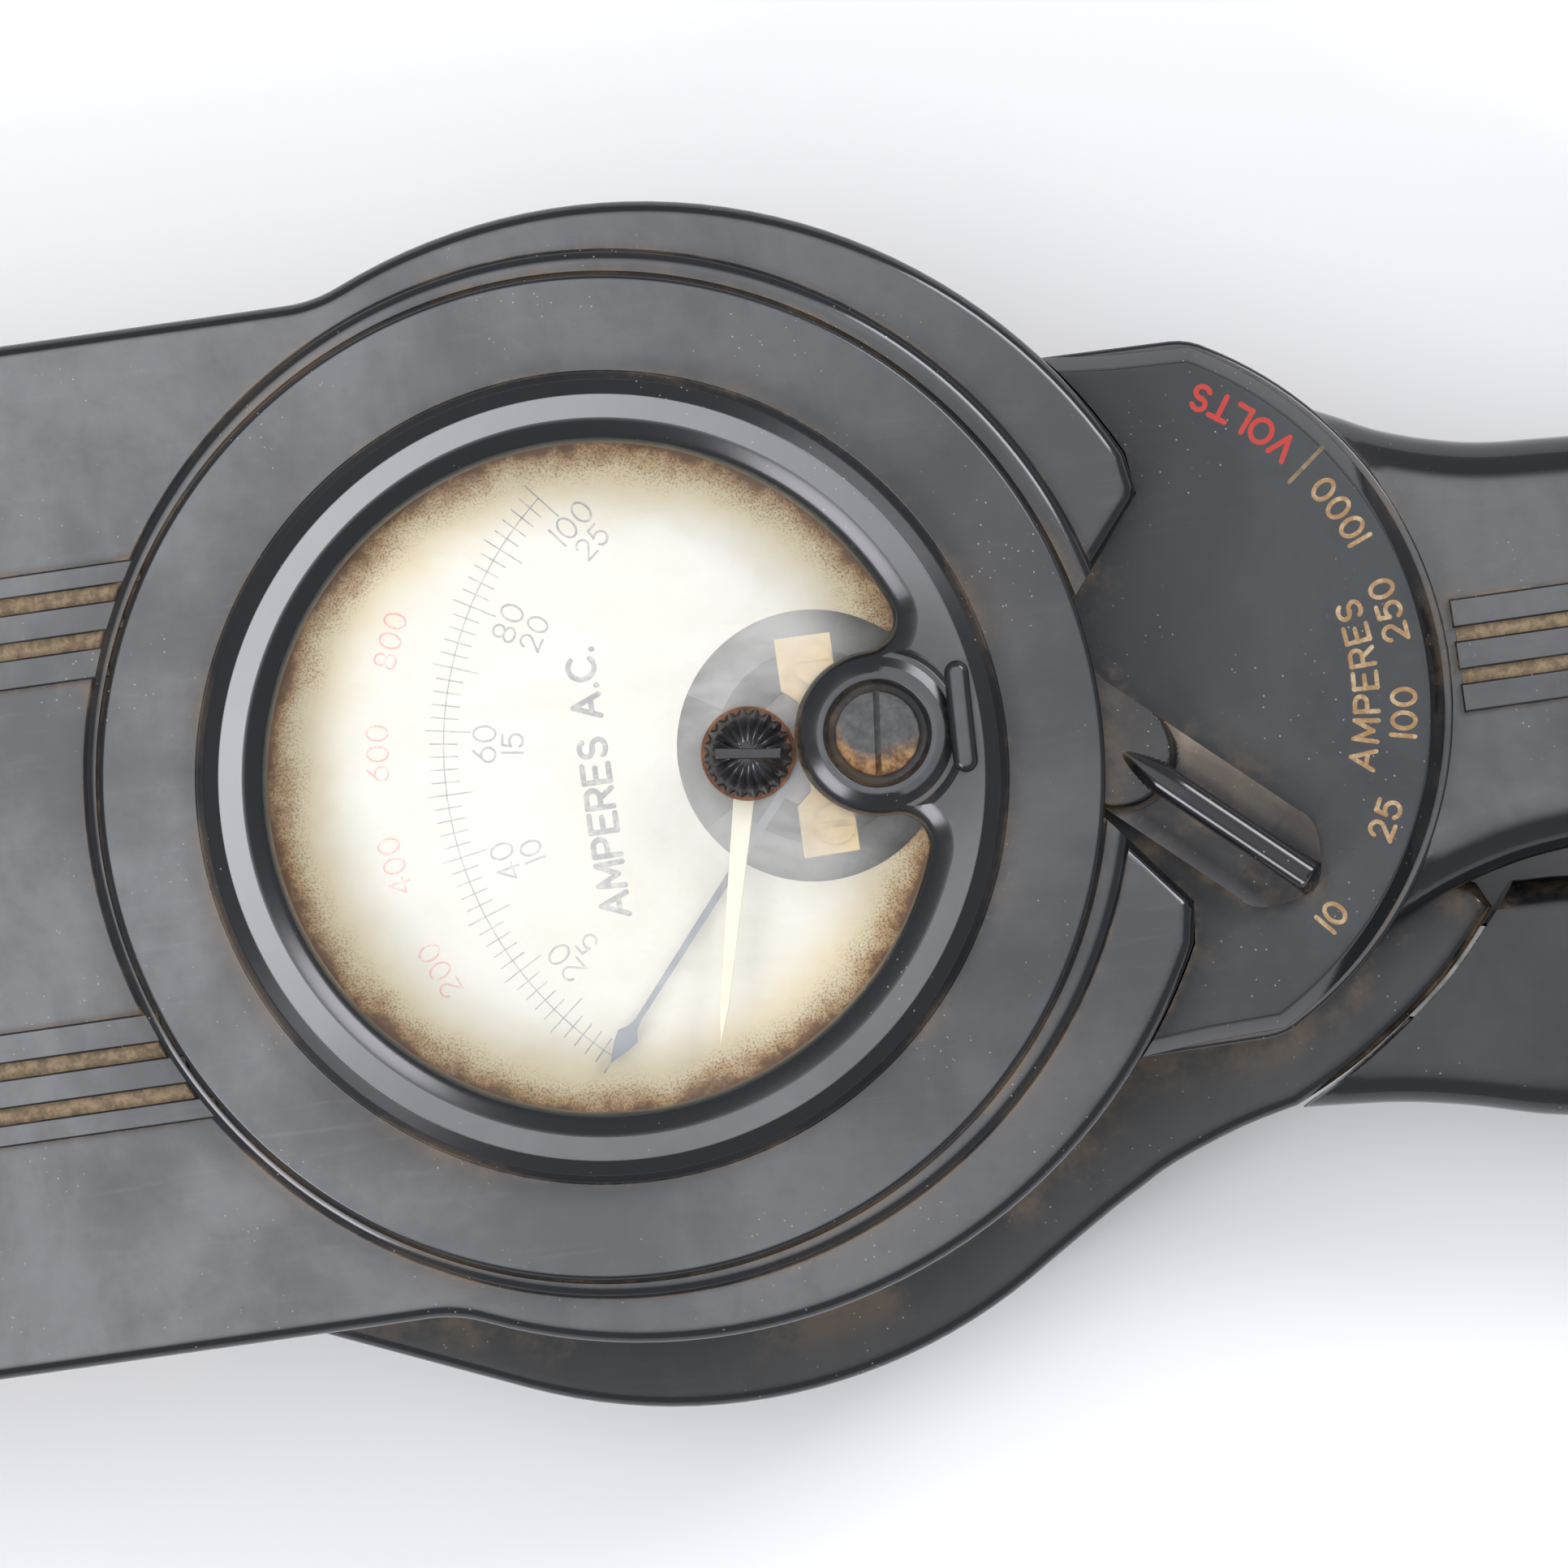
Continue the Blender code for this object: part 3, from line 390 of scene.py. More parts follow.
class Nodes:
    """Small helper that adds and wires shader nodes."""

    def __init__(self, name):
        self.material = bpy.data.materials.new(name)
        self.material.use_nodes = True
        self.tree = self.material.node_tree
        self.shader = self.tree.nodes["Principled BSDF"]
        self.place = self.add("ShaderNodeTexCoord").outputs

    def add(self, kind, **settings):
        node = self.tree.nodes.new(kind)
        for key, value in settings.items():
            setattr(node, key, value)
        return node

    def put(self, socket, value):
        if isinstance(value, bpy.types.NodeSocket):
            self.tree.links.new(value, socket)
        elif isinstance(value, tuple) and len(value) == 3 and socket.type == "RGBA":
            socket.default_value = (*value, 1)
        else:
            socket.default_value = value

    def set(self, **values):
        for key, value in values.items():
            self.put(self.shader.inputs[key.replace("_", " ")], value)

    def math(self, operation, a, b=0, clamp=False):
        node = self.add("ShaderNodeMath", operation=operation, use_clamp=clamp)
        self.put(node.inputs[0], a)
        self.put(node.inputs[1], b)
        return node.outputs[0]

    def times(self, a, b, clamp=False):
        return self.math("MULTIPLY", a, b, clamp)

    def plus(self, a, b):
        return self.math("ADD", a, b)

    def minus(self, a, b):
        return self.math("SUBTRACT", a, b)

    def axes(self, source="Object"):
        split = self.add("ShaderNodeSeparateXYZ")
        self.put(split.inputs[0], self.place[source])
        return split.outputs

    def span(self, value, low, high, out_low=0, out_high=1, kind="SMOOTHSTEP"):
        node = self.add("ShaderNodeMapRange", interpolation_type=kind)
        for socket, item in zip(node.inputs, (value, low, high, out_low, out_high)):
            self.put(socket, item)
        return node.outputs[0]

    def mix(self, factor, a, b):
        node = self.add("ShaderNodeMix", data_type="RGBA")
        self.put(node.inputs[0], factor)
        self.put(node.inputs[6], a)
        self.put(node.inputs[7], b)
        return node.outputs[2]

    def scaled(self, stretch, turn_z=0):
        node = self.add("ShaderNodeMapping")
        self.put(node.inputs[0], self.place["Object"])
        self.put(node.inputs["Rotation"], (0, 0, radians(turn_z)))
        self.put(node.inputs["Scale"], stretch)
        return node.outputs[0]

    def noise(self, scale, detail=4, rough=0.55, where=None, distortion=0):
        node = self.add("ShaderNodeTexNoise")
        self.put(node.inputs["Vector"], where or self.place["Object"])
        for key, value in (("Scale", scale), ("Detail", detail), ("Roughness", rough), ("Distortion", distortion)):
            node.inputs[key].default_value = value
        return node.outputs["Fac"]

    def cells(self, scale):
        node = self.add("ShaderNodeTexVoronoi")
        self.put(node.inputs["Vector"], self.place["Object"])
        node.inputs["Scale"].default_value = scale
        return node.outputs["Distance"]

    def bump(self, height, strength=0.2, distance=0.0002):
        node = self.add("ShaderNodeBump")
        node.inputs["Strength"].default_value = strength
        node.inputs["Distance"].default_value = distance
        self.put(node.inputs["Height"], height)
        self.put(self.shader.inputs["Normal"], node.outputs[0])

    def flatness(self):
        """One where the surface faces straight up or down, zero on rims and sides."""
        return self.span(self.math("ABSOLUTE", self.axes("Normal")[2]), 0.90, 0.995)

    def hollows(self, distance):
        """One in grooves and at the foot of steps."""
        node = self.add("ShaderNodeAmbientOcclusion")
        node.samples = 6
        node.inputs["Distance"].default_value = distance
        return self.minus(1, node.outputs["AO"])

    def distance_from(self, place):
        node = self.add("ShaderNodeVectorMath", operation="DISTANCE")
        self.put(node.inputs[0], self.place["Object"])
        node.inputs[1].default_value = place
        return node.outputs["Value"]


def phenolic(name, haze=(0.142, 0.146, 0.150), dark=(0.009, 0.010, 0.012), dusty=1.0, rough=0.55, painted_falloff=0.5,
             crown=None, lit_side=None, polish=0.13):
    """Aged black phenolic: greyed and dusty on its flats, polished on its rims, tan dirt in patches at its steps.
    The haze is painted thinner towards +x, the handle, down to painted_falloff there: a painted light falloff, darker
    on the right. crown (tint, z from, z to, least) tints the tops: on the bezel a painted sheen, lighter on the
    ring's tops away from the boss and towards +y; on the knob the darker black of the fin. lit_side is a direction;
    the low flanks facing it are painted with tan light, strongest near the hub."""
    n = Nodes(name)

    def hazed(factor):
        return tuple(c * factor for c in haze)

    flat = n.flatness()
    cloud = n.noise(24, 6, 0.62, distortion=0.3)
    fine = n.noise(420, 3, 0.6)
    streak = n.noise(70, 4, 0.6, n.scaled((1, 12, 1), 24))
    wipe = n.noise(48, 3, 0.55, n.scaled((4, 1, 1), -38))
    x, y, z = n.axes()
    # The haze is painted thinner towards +x, the handle: a painted light falloff that leaves the right side darker.
    along = n.span(x, -0.055, 0.055, 1, painted_falloff)
    shade = n.mix(n.span(cloud, 0.38, 0.62), hazed(0.66), hazed(1.08))
    shade = n.mix(n.times(n.span(streak, 0.55, 0.78), 0.30), shade, hazed(1.35))
    shade = n.mix(n.times(n.span(wipe, 0.52, 0.72), 0.35), shade, hazed(0.62))
    shade = n.mix(n.times(n.span(fine, 0.4, 0.8), 0.22), shade, hazed(0.5))
    # On the bezel the crown tint is a painted sheen: the ring's tops are painted lighter, away from the boss and more
    # towards +y. On the knob it is the darker black of the fin's top.
    if crown:
        tint, low, high, least = crown
        top_tint_and_sheen_mask = n.times(n.span(z, low, high), n.span(n.distance_from(spot_of(BOSS, high / MM)), 0.008, 0.021))
        shade = n.mix(n.times(top_tint_and_sheen_mask, n.span(y, -0.045, 0.012, least, 1)), shade, tint)
    haze_and_painted_falloff = n.times(flat, n.times(along, n.span(cloud, 0.2, 0.6, 0.86, 1)))
    color = n.mix(haze_and_painted_falloff, dark, shade)

    pores = n.span(n.noise(140, 5, 0.7), 0.40, 0.60)
    patch = n.span(n.noise(34, 3, 0.6), 0.40, 0.56)
    dirt = n.times(n.span(n.hollows(0.0016), 0.22, 0.46), n.times(pores, patch))
    dirt = n.times(dirt, dusty, clamp=True)
    color = n.mix(dirt, color, n.mix(n.span(fine, 0.35, 0.65), (0.15, 0.095, 0.05), (0.33, 0.235, 0.14)))
    film = n.times(n.span(n.hollows(0.007), 0.10, 0.42), n.span(n.noise(46, 6, 0.7), 0.46, 0.62))
    color = n.mix(n.times(film, 0.72 * dusty, clamp=True), color, (0.25, 0.172, 0.10))
    # The flanks facing the given direction, below the fin and strongest near the hub, are painted with tan light:
    # painted light on one side of the knob.
    if lit_side:
        facing = n.add("ShaderNodeVectorMath", operation="DOT_PRODUCT")
        n.put(facing.inputs[0], n.place["Normal"])
        facing.inputs[1].default_value = (*lit_side, 0)
        hub_end = n.span(n.distance_from(spot_of(SELECTOR, COVER_TOP)), 0.008, 0.026, 0.95, 0.35)
        wear_and_lit_flank = n.times(n.times(n.span(facing.outputs["Value"], 0.08, 0.30), hub_end),
                       n.span(z, 0.0400, 0.0403, 1, 0))
        color = n.mix(n.times(wear_and_lit_flank, n.span(pores, 0, 1, 0.75, 1)), color, (0.23, 0.185, 0.14))
    speck = n.times(n.span(n.cells(980), 0.12, 0.06), n.span(n.noise(90, 3), 0.50, 0.60))
    color = n.mix(n.times(speck, 0.5), color, (0.44, 0.43, 0.40))
    matt = n.times(n.math("MAXIMUM", flat, dirt), rough - polish)
    n.set(Base_Color=color, Roughness=n.plus(matt, polish), Specular_IOR_Level=0.5)
    n.bump(n.plus(n.times(fine, 0.5), n.times(streak, 0.35)), 0.10, 0.0001)
    return n.material


def glossy_black(name, color=(0.012, 0.012, 0.014), rough=0.14):
    n = Nodes(name)
    cloud = n.noise(300, 4, 0.6)
    dirt = n.times(n.span(n.hollows(0.0012), 0.3, 0.6), n.span(n.noise(180, 3), 0.45, 0.6))
    tint = n.mix(n.span(cloud, 0.4, 0.7), color, tuple(c * 2.4 for c in color))
    dusted = n.mix(n.times(dirt, n.span(n.noise(500, 3), 0.4, 0.6)), tint, (0.16, 0.10, 0.055))
    n.set(Base_Color=dusted, Roughness=n.span(cloud, 0.3, 0.8, rough, rough + 0.2, "LINEAR"))
    n.bump(cloud, 0.08, 0.0001)
    return n.material


def metal(name, color, rough=0.35, brushed=0.0, tarnish=(0.08, 0.06, 0.04), amount=0.35):
    n = Nodes(name)
    cloud = n.noise(120, 5, 0.65)
    lines = n.noise(900, 2, 0.5, n.scaled((1, 0.05, 1)))
    spots = n.times(n.span(cloud, 0.45, 0.7), amount)
    n.set(Base_Color=n.mix(spots, color, tarnish), Metallic=0.9,
          Roughness=n.plus(n.times(lines, brushed), n.plus(rough, n.times(spots, 0.4))))
    n.bump(lines if brushed else cloud, 0.12, 0.00008)
    return n.material


def laminations(name):
    """Stack of thin iron stampings seen edge-on."""
    n = Nodes(name)
    wave = n.add("ShaderNodeTexWave", bands_direction="Z")
    n.put(wave.inputs["Vector"], n.place["Object"])
    wave.inputs["Scale"].default_value = 320
    rust = n.span(n.noise(160, 5, 0.7), 0.45, 0.7)
    steel = n.mix(wave.outputs["Fac"], (0.10, 0.095, 0.09), (0.34, 0.33, 0.32))
    n.set(Base_Color=n.mix(n.times(rust, 0.6), steel, (0.16, 0.07, 0.03)), Metallic=0.75,
          Roughness=n.span(rust, 0, 1, 0.35, 0.7))
    n.bump(wave.outputs["Fac"], 0.4, 0.0001)
    return n.material


def matte(name, color, second, scale=200.0, rough=0.8, strength=0.3):
    n = Nodes(name)
    cloud = n.noise(scale, 5, 0.65)
    n.set(Base_Color=n.mix(n.span(cloud, 0.35, 0.65), color, second),
          Roughness=n.span(cloud, 0.2, 0.8, rough - 0.1, rough + 0.1))
    n.bump(cloud, strength, 0.0002)
    return n.material


def dial_paper():
    """Cream card, browned and speckled with rust towards its edge and round the movement's cut-out."""
    n = Nodes("dial_card")
    meter = spot_of(METER, DIAL_TOP)
    boss = spot_of(BOSS, DIAL_TOP)
    ragged = n.times(n.minus(n.noise(150, 8, 0.74), 0.5), 0.008)
    rim_reach = n.plus(n.distance_from(meter), ragged)
    boss_reach = n.minus(0.0440, n.plus(n.distance_from(boss), ragged))
    reach = n.math("MAXIMUM", rim_reach, n.math("MINIMUM", boss_reach, 0.0345))
    warm = n.mix(n.span(n.noise(22, 4), 0.35, 0.65), (0.76, 0.735, 0.62), (0.82, 0.805, 0.73))
    color = n.mix(n.span(reach, 0.0240, 0.0318), warm, (0.70, 0.60, 0.38))
    color = n.mix(n.span(reach, 0.0314, 0.0340), color, (0.47, 0.285, 0.115))
    color = n.mix(n.span(reach, 0.0333, 0.0346), color, (0.14, 0.055, 0.014))
    grains = n.times(n.span(n.noise(4200, 3, 0.7), 0.50, 0.58), n.span(reach, 0.0296, 0.0334))
    color = n.mix(n.times(grains, 0.8), color, (0.16, 0.075, 0.025))
    n.set(Base_Color=color, Roughness=0.85)
    n.bump(n.noise(600, 4), 0.15, 0.00015)
    return n.material


def fogged_glass():
    """Old cover glass with a milky bloom that thins in the middle."""
    n = Nodes("fogged_glass")
    bloom = n.noise(38, 5, 0.6, distortion=0.4)
    streaks = n.noise(30, 5, 0.65, n.scaled((1, 2.4, 1), 35), 1.2)
    cover = n.span(n.plus(n.times(bloom, 0.5), n.times(streaks, 0.5)), 0.3, 0.7, 0.09, 0.30)
    clear_rim = n.span(n.distance_from(spot_of(METER, GLASS_Z[1])), 0.023, 0.032, 1, 0.16)
    n.set(Base_Color=(0.88, 0.875, 0.84), Roughness=0.16, Alpha=n.times(cover, clear_rim))
    return n.material


def ink(name, color, wear_and_lit_flank=0.35, under=(0.84, 0.82, 0.73), scale=700.0, rough=0.7):
    """Paint or print that has partly faded into the surface beneath it."""
    n = Nodes(name)
    loss = n.times(n.span(n.noise(scale, 4, 0.7), 0.42, 0.68), wear_and_lit_flank)
    n.set(Base_Color=n.mix(loss, color, under), Roughness=rough)
    return n.material


def rusted_screw():
    """Dark screw head with orange-brown rust gathered round its lower edge."""
    n = Nodes("rusted_corrector")
    fine = n.noise(900, 4, 0.7)
    low = n.distance_from(((BOSS[0] + 0.6) * MM, (BOSS[1] + 2.6) * MM, 48.2 * MM))
    rust = n.span(n.plus(low, n.times(n.minus(n.noise(420, 6, 0.7), 0.5), 0.0045)),
                  0.0040, 0.0062)
    color = n.mix(n.span(fine, 0.35, 0.7), (0.045, 0.047, 0.047), (0.085, 0.085, 0.082))
    color = n.mix(rust, color, n.mix(n.span(fine, 0.35, 0.65), (0.11, 0.05, 0.02), (0.34, 0.19, 0.08)))
    n.set(Base_Color=color, Roughness=n.span(rust, 0, 1, 0.5, 0.85))
    n.bump(fine, 0.5, 0.0002)
    return n.material


# Every phenolic's haze is painted darker towards the handle, a painted light falloff.
SHELL = phenolic("aged_phenolic")
SHELL_LOW = phenolic("aged_phenolic_low", haze=(0.034, 0.036, 0.037), dusty=0.6, rough=0.48, painted_falloff=0.9)
SHELL_GRIP = phenolic("aged_phenolic_grip", haze=(0.098, 0.101, 0.103), dusty=0.8, rough=0.5, painted_falloff=0.9)
SHELL_PLATE = phenolic("aged_phenolic_plate", haze=(0.043, 0.048, 0.051), dusty=0.8, painted_falloff=0.72)
# The bezel's crown tint is a painted sheen on the ring's tops.
BEZEL = phenolic("aged_phenolic_bezel", haze=(0.152, 0.156, 0.161), dusty=0.9, painted_falloff=0.38,
                 crown=((0.35, 0.355, 0.365), 0.0486, 0.0492, 0.2), polish=0.23)
# The knob's flanks facing the last direction given are painted with tan light.
KNOB = phenolic("knob_phenolic", haze=(0.040, 0.041, 0.044), dark=(0.010, 0.010, 0.012), dusty=0.7, rough=0.34,
                painted_falloff=0.9, crown=((0.006, 0.006, 0.008), 0.0410, 0.0413, 1), lit_side=(-0.65, -0.74))
GLOSS = glossy_black("polished_black")
STEEL = metal("worn_steel", (0.42, 0.42, 0.41), 0.32, 0.15)
BRASS = metal("aged_brass", (0.62, 0.45, 0.20), 0.33)
COPPER = metal("copper_turns", (0.50, 0.20, 0.09), 0.4)
FIBRE = matte("red_fibre", (0.24, 0.105, 0.05), (0.12, 0.05, 0.025), 500)
RUBBER = matte("old_rubber", (0.03, 0.028, 0.026), (0.06, 0.05, 0.045))
IRON = laminations("laminated_iron")
DULL = matte("dull_magnet", (0.13, 0.135, 0.13), (0.20, 0.20, 0.19), 300, 0.7)
CARD = dial_paper()
GLASS = fogged_glass()
CREAM = ink("cream_enamel", (0.86, 0.80, 0.60), 0.35, (0.72, 0.60, 0.36), 400, 0.45)
NEEDLE_BLUE = ink("needle_enamel", (0.13, 0.16, 0.21), 0.25, (0.26, 0.28, 0.30), 500, 0.5)
DIAL_INK = ink("faded_dial_ink", (0.27, 0.28, 0.28), 0.5)
DIAL_RED = ink("faded_red_ink", (0.80, 0.33, 0.25), 0.7)
RUSTED = rusted_screw()
DIRT = matte("packed_dirt", (0.24, 0.175, 0.105), (0.13, 0.095, 0.058), 1100, 0.9)
TAN_FILL = ink("tan_filled_letters", (0.27, 0.155, 0.062), 0.85, (0.46, 0.36, 0.22), 700)
RED_FILL = ink("red_filled_letters", (0.40, 0.032, 0.024), 0.3, (0.30, 0.06, 0.04), 900)


# ---- shells

def bar_bm(low, high, angle=0.0, pivot=(0.0, 0.0)):
    corners = oblong(low[0], low[1], high[0], high[1])
    return slab_bm([turn(point, angle, pivot) for point in corners], low[2], high[2])


def core_bm(grow, z0, z1, side=1):
    """Room for half of the laminated core."""
    outer, inner = 7.2 - grow, 16.2 + grow
    center = (JAW_TIP_X + JAW_CORNER_R, BAND_HALF - JAW_CORNER_R)
    face = FACE_Y - 5
    points = [(-93.8 + grow, face), (-93.8 + grow, BAND_HALF - outer)]
    points += arc(center, JAW_CORNER_R - outer, 90, 180, 10) + [(JAW_TIP_X + outer, face)]
    points += [(JAW_TIP_X + inner, face)] + arc(center, JAW_CORNER_R - inner, 180, 90, 10)
    points += [(-102.8 - grow, BAND_HALF - inner), (-102.8 - grow, face)]
    return slab_bm(mirrored(points) if side < 0 else points, z0, z1)


def coil_room(z0, z1):
    return bar_bm((-128, 31, z0), (-104, 49.6, z1))


def contact_bay(z0, z1):
    """Room in the grip for the rectifier and the resistors."""
    low, high = CONTACT_BAY
    return bar_bm((*low, z0), (*high, z1))


def notch_wedge(grow=0.0):
    """The V that the round body leaves open over the selector."""
    slope = (NOTCH_OUT[1] - NOTCH_IN[1]) / (NOTCH_OUT[0] - NOTCH_IN[0])
    reach = NOTCH_OUT[0] + 20
    half = NOTCH_IN[1] + slope * (reach - NOTCH_IN[0])
    x = NOTCH_IN[0] + grow
    return [(x, -NOTCH_IN[1]), (reach + grow, -half), (reach + grow, half), (x, NOTCH_IN[1])]


def screw_room(place, tip):
    return [rod_bm(place, SCREW_R, -1, tip + 0.4), rod_bm(place, 2.8, -1, 2.6)]


def build_front_shell():
    shell = add_object("moulded_front_shell", slab_bm(body_outline(), SPLIT_Z, SHELL_TOP, top=1.7))
    shoulder = [(50.5, SHELL_TOP - 1), (54, SHELL_TOP - 1)]
    shoulder += [(52.2 + 1.8 * cos(t), 42.7 + 1.7 * sin(t)) for t in (radians(9 * k) for k in range(11))]
    shoulder += [(50.5, 44.4)]
    ring = add_object("shoulder", turned_bm(shoulder, (-2.9, 0.3), 240))
    cut(ring, rod_bm(METER, 52, SHELL_TOP + 0.05, 60, 240), slab_bm(notch_wedge(), 20, 60))
    for side in (1, -1):
        for low, high in ((17.4, 20.5), (22.1, 25.1), (26.7, 29)):
            edge = METER[0] - sqrt(52.6 ** 2 - high ** 2)
            strip = oblong(RIB_START, low, edge, high)
            join(shell, slab_bm(mirrored(strip) if side < 0 else strip, SHELL_TOP - 0.5, SHELL_TOP + 0.75, top=0.3))
    chord = degrees(acos(36.4 / SHELL_BORE_R))
    room = slab_bm(arc((0, 0), SHELL_BORE_R, chord, 360 - chord), SPLIT_Z - 1, 39.8)
    cut(shell, room, bar_bm((-83, -47.5, SPLIT_Z - 1), (-30, 47.5, 39.7)), rod_bm(METER, 40.5, SPLIT_Z - 1, 60, 128),
        core_bm(0.4, SPLIT_Z - 1, 31.4), coil_room(SPLIT_Z - 1, 38.6))
    bm = bmesh.new()
    bm.from_mesh(ring.data)
    for vert in bm.verts:
        vert.co /= MM
    bpy.data.objects.remove(ring)
    join(shell, bm)
    cut(shell, *(rod_bm(place, SCREW_R, 10, 34.4) for place in REAR_SCREWS[:4]))
    return finish_piece(shell, "body", SHELL, ["front_shell"], 28)


def build_groove_dust():
    """Tan dust packed between the ribs of the band and those of the grip."""
    bm = bmesh.new()
    for side in (1, -1):
        for low, high in ((20.45, 22.15), (25.05, 26.75)):
            edge = METER[0] - sqrt(52.8 ** 2 - high ** 2)
            strip = oblong(RIB_START + 0.3, low, edge, high)
            part = slab_bm(mirrored(strip) if side < 0 else strip, SHELL_TOP - 0.1, SHELL_TOP + 0.12)
            mesh = bpy.data.meshes.new("part")
            part.to_mesh(mesh)
            part.free()
            bm.from_mesh(mesh)
    piece("groove_dust", bm, "body", DIRT)
    for index, low in enumerate((-2.95, 1.45)):
        strip = oblong(GRIP_RIBS[0] + 0.3, low, GRIP_RIBS[1] - 0.4, low + 1.5)
        piece(f"grip_dust_{index}", slab_bm(strip, BASE_TOP - 0.1, BASE_TOP + 0.1), "body", DIRT)


REAR_SCREWS = [(-153.4, 37.6), (-87, 46.6), (-12, 53), (38.1, 39), (76, 8), (166, 6.5)]


def build_rear_shell():
    shell = add_object("moulded_rear_shell", slab_bm(body_outline(notch=False), 0, SPLIT_Z - GAP, bottom=2.2))
    join(shell, slab_bm(handle_outline(0.5), 0, SPLIT_Z - GAP, bottom=5))
    high = SPLIT_Z + 5
    bay = [(-80, -1.2), (-80, -90), (240, -90), (240, -2.6), (70, -2.6), (70, 26), (45, 33)]
    bay += arc((0, 0), SHELL_BORE_R, 40, 140) + [(-60, 44), (-83, 44), (-83, -1.2)]
    jaw_bay = split_arc(SPLIT_R + 3, -1.2, -90) + [(-40, -90), (-40, -1.2)]
    spring = turned_bm([(11.5, 20), (49, 20), (49, 3), (11.5, 3)], PIVOT)
    cut(shell, slab_bm(bay, REAR_TOP, high), slab_bm(jaw_bay, REAR_TOP, high),
        contact_bay(3, high), spring, core_bm(0.4, 14.6, high), coil_room(7.4, high),
        rod_bm(PIVOT, 4.3, -1, 20), rod_bm(PIVOT, 7.3, -1, 2.6))
    for place in REAR_SCREWS:
        cut(shell, *screw_room(place, 30))
    for y in (1, 11.6):
        hole = rod_bm((0, 0), 2.7, 0, 40)
        for vert in hole.verts:
            vert.co = Vector((HANDLE_END - 12.8 + vert.co.z, y + vert.co.y, 16 - vert.co.x))
        cut(shell, hole)
    return finish_piece(shell, "body", SHELL, ["rear_shell"], 28)


def build_handle():
    handle = add_object("moulded_handle", slab_bm(handle_outline(), SPLIT_Z, BASE_TOP, top=5.8))
    wedge = [(40.4, -1.8)] + arc(SELECTOR, 29, -50, 50) + [(40.4, 1.8)]
    for low in (-5.9, -1.5, 2.9):
        strip = oblong(GRIP_RIBS[0], low, GRIP_RIBS[1], low + 3)
        join(handle, slab_bm(strip, BASE_TOP - 0.6, BASE_TOP + 0.7, top=0.3))
    seat = arc(BASE_AT, BASE_R - 0.03, -61, 61)[1:-1] + base_corner() + [(46, 36.57), (46, -36.57)]
    join(handle, slab_bm(seat + mirrored(base_corner()), SPLIT_Z + 0.2, BASE_TOP + 0.15, top=0.6))
    cut(handle, slab_bm(body_outline(GAP), SPLIT_Z - 1, SHELL_TOP + 5), slab_bm(wedge, SPLIT_Z - 1, 31.8),
        rod_bm(SELECTOR, 3.3, 20, 40), contact_bay(SPLIT_Z - 1, 29))
    cut(handle, *(rod_bm(place, SCREW_R, 10, 30.4) for place in REAR_SCREWS[4:]))
    return finish_piece(handle, "body", SHELL_GRIP, ["handle_front"], 28)


def build_selector_base():
    """Raised round base that carries the engraved plate, with a sloping rim."""
    plate = arc(COVER_AT, COVER_R, -61.5, 61.5) + [(54.2, 34.3), (36, 36), (36, -36), (54.2, -34.3)]
    skirt = [(-1.5, BASE_TOP + GAP), (-1.45, BASE_TOP + 0.7), (-0.2, COVER_TOP - 0.45), (0, COVER_TOP - 0.2),
             (0.15, COVER_TOP - 0.06), (0.4, COVER_TOP), (0.8, COVER_TOP)]
    cover = add_object("engraved_cover", loft(plate, skirt))
    cut(cover, slab_bm(body_outline(GAP), SPLIT_Z - 1, SHELL_TOP + 5), rod_bm(SELECTOR, 3.3, 20, 40))
    return finish_piece(cover, "body", SHELL_PLATE, ["selector_cover"], 28)


# ---- squeeze side

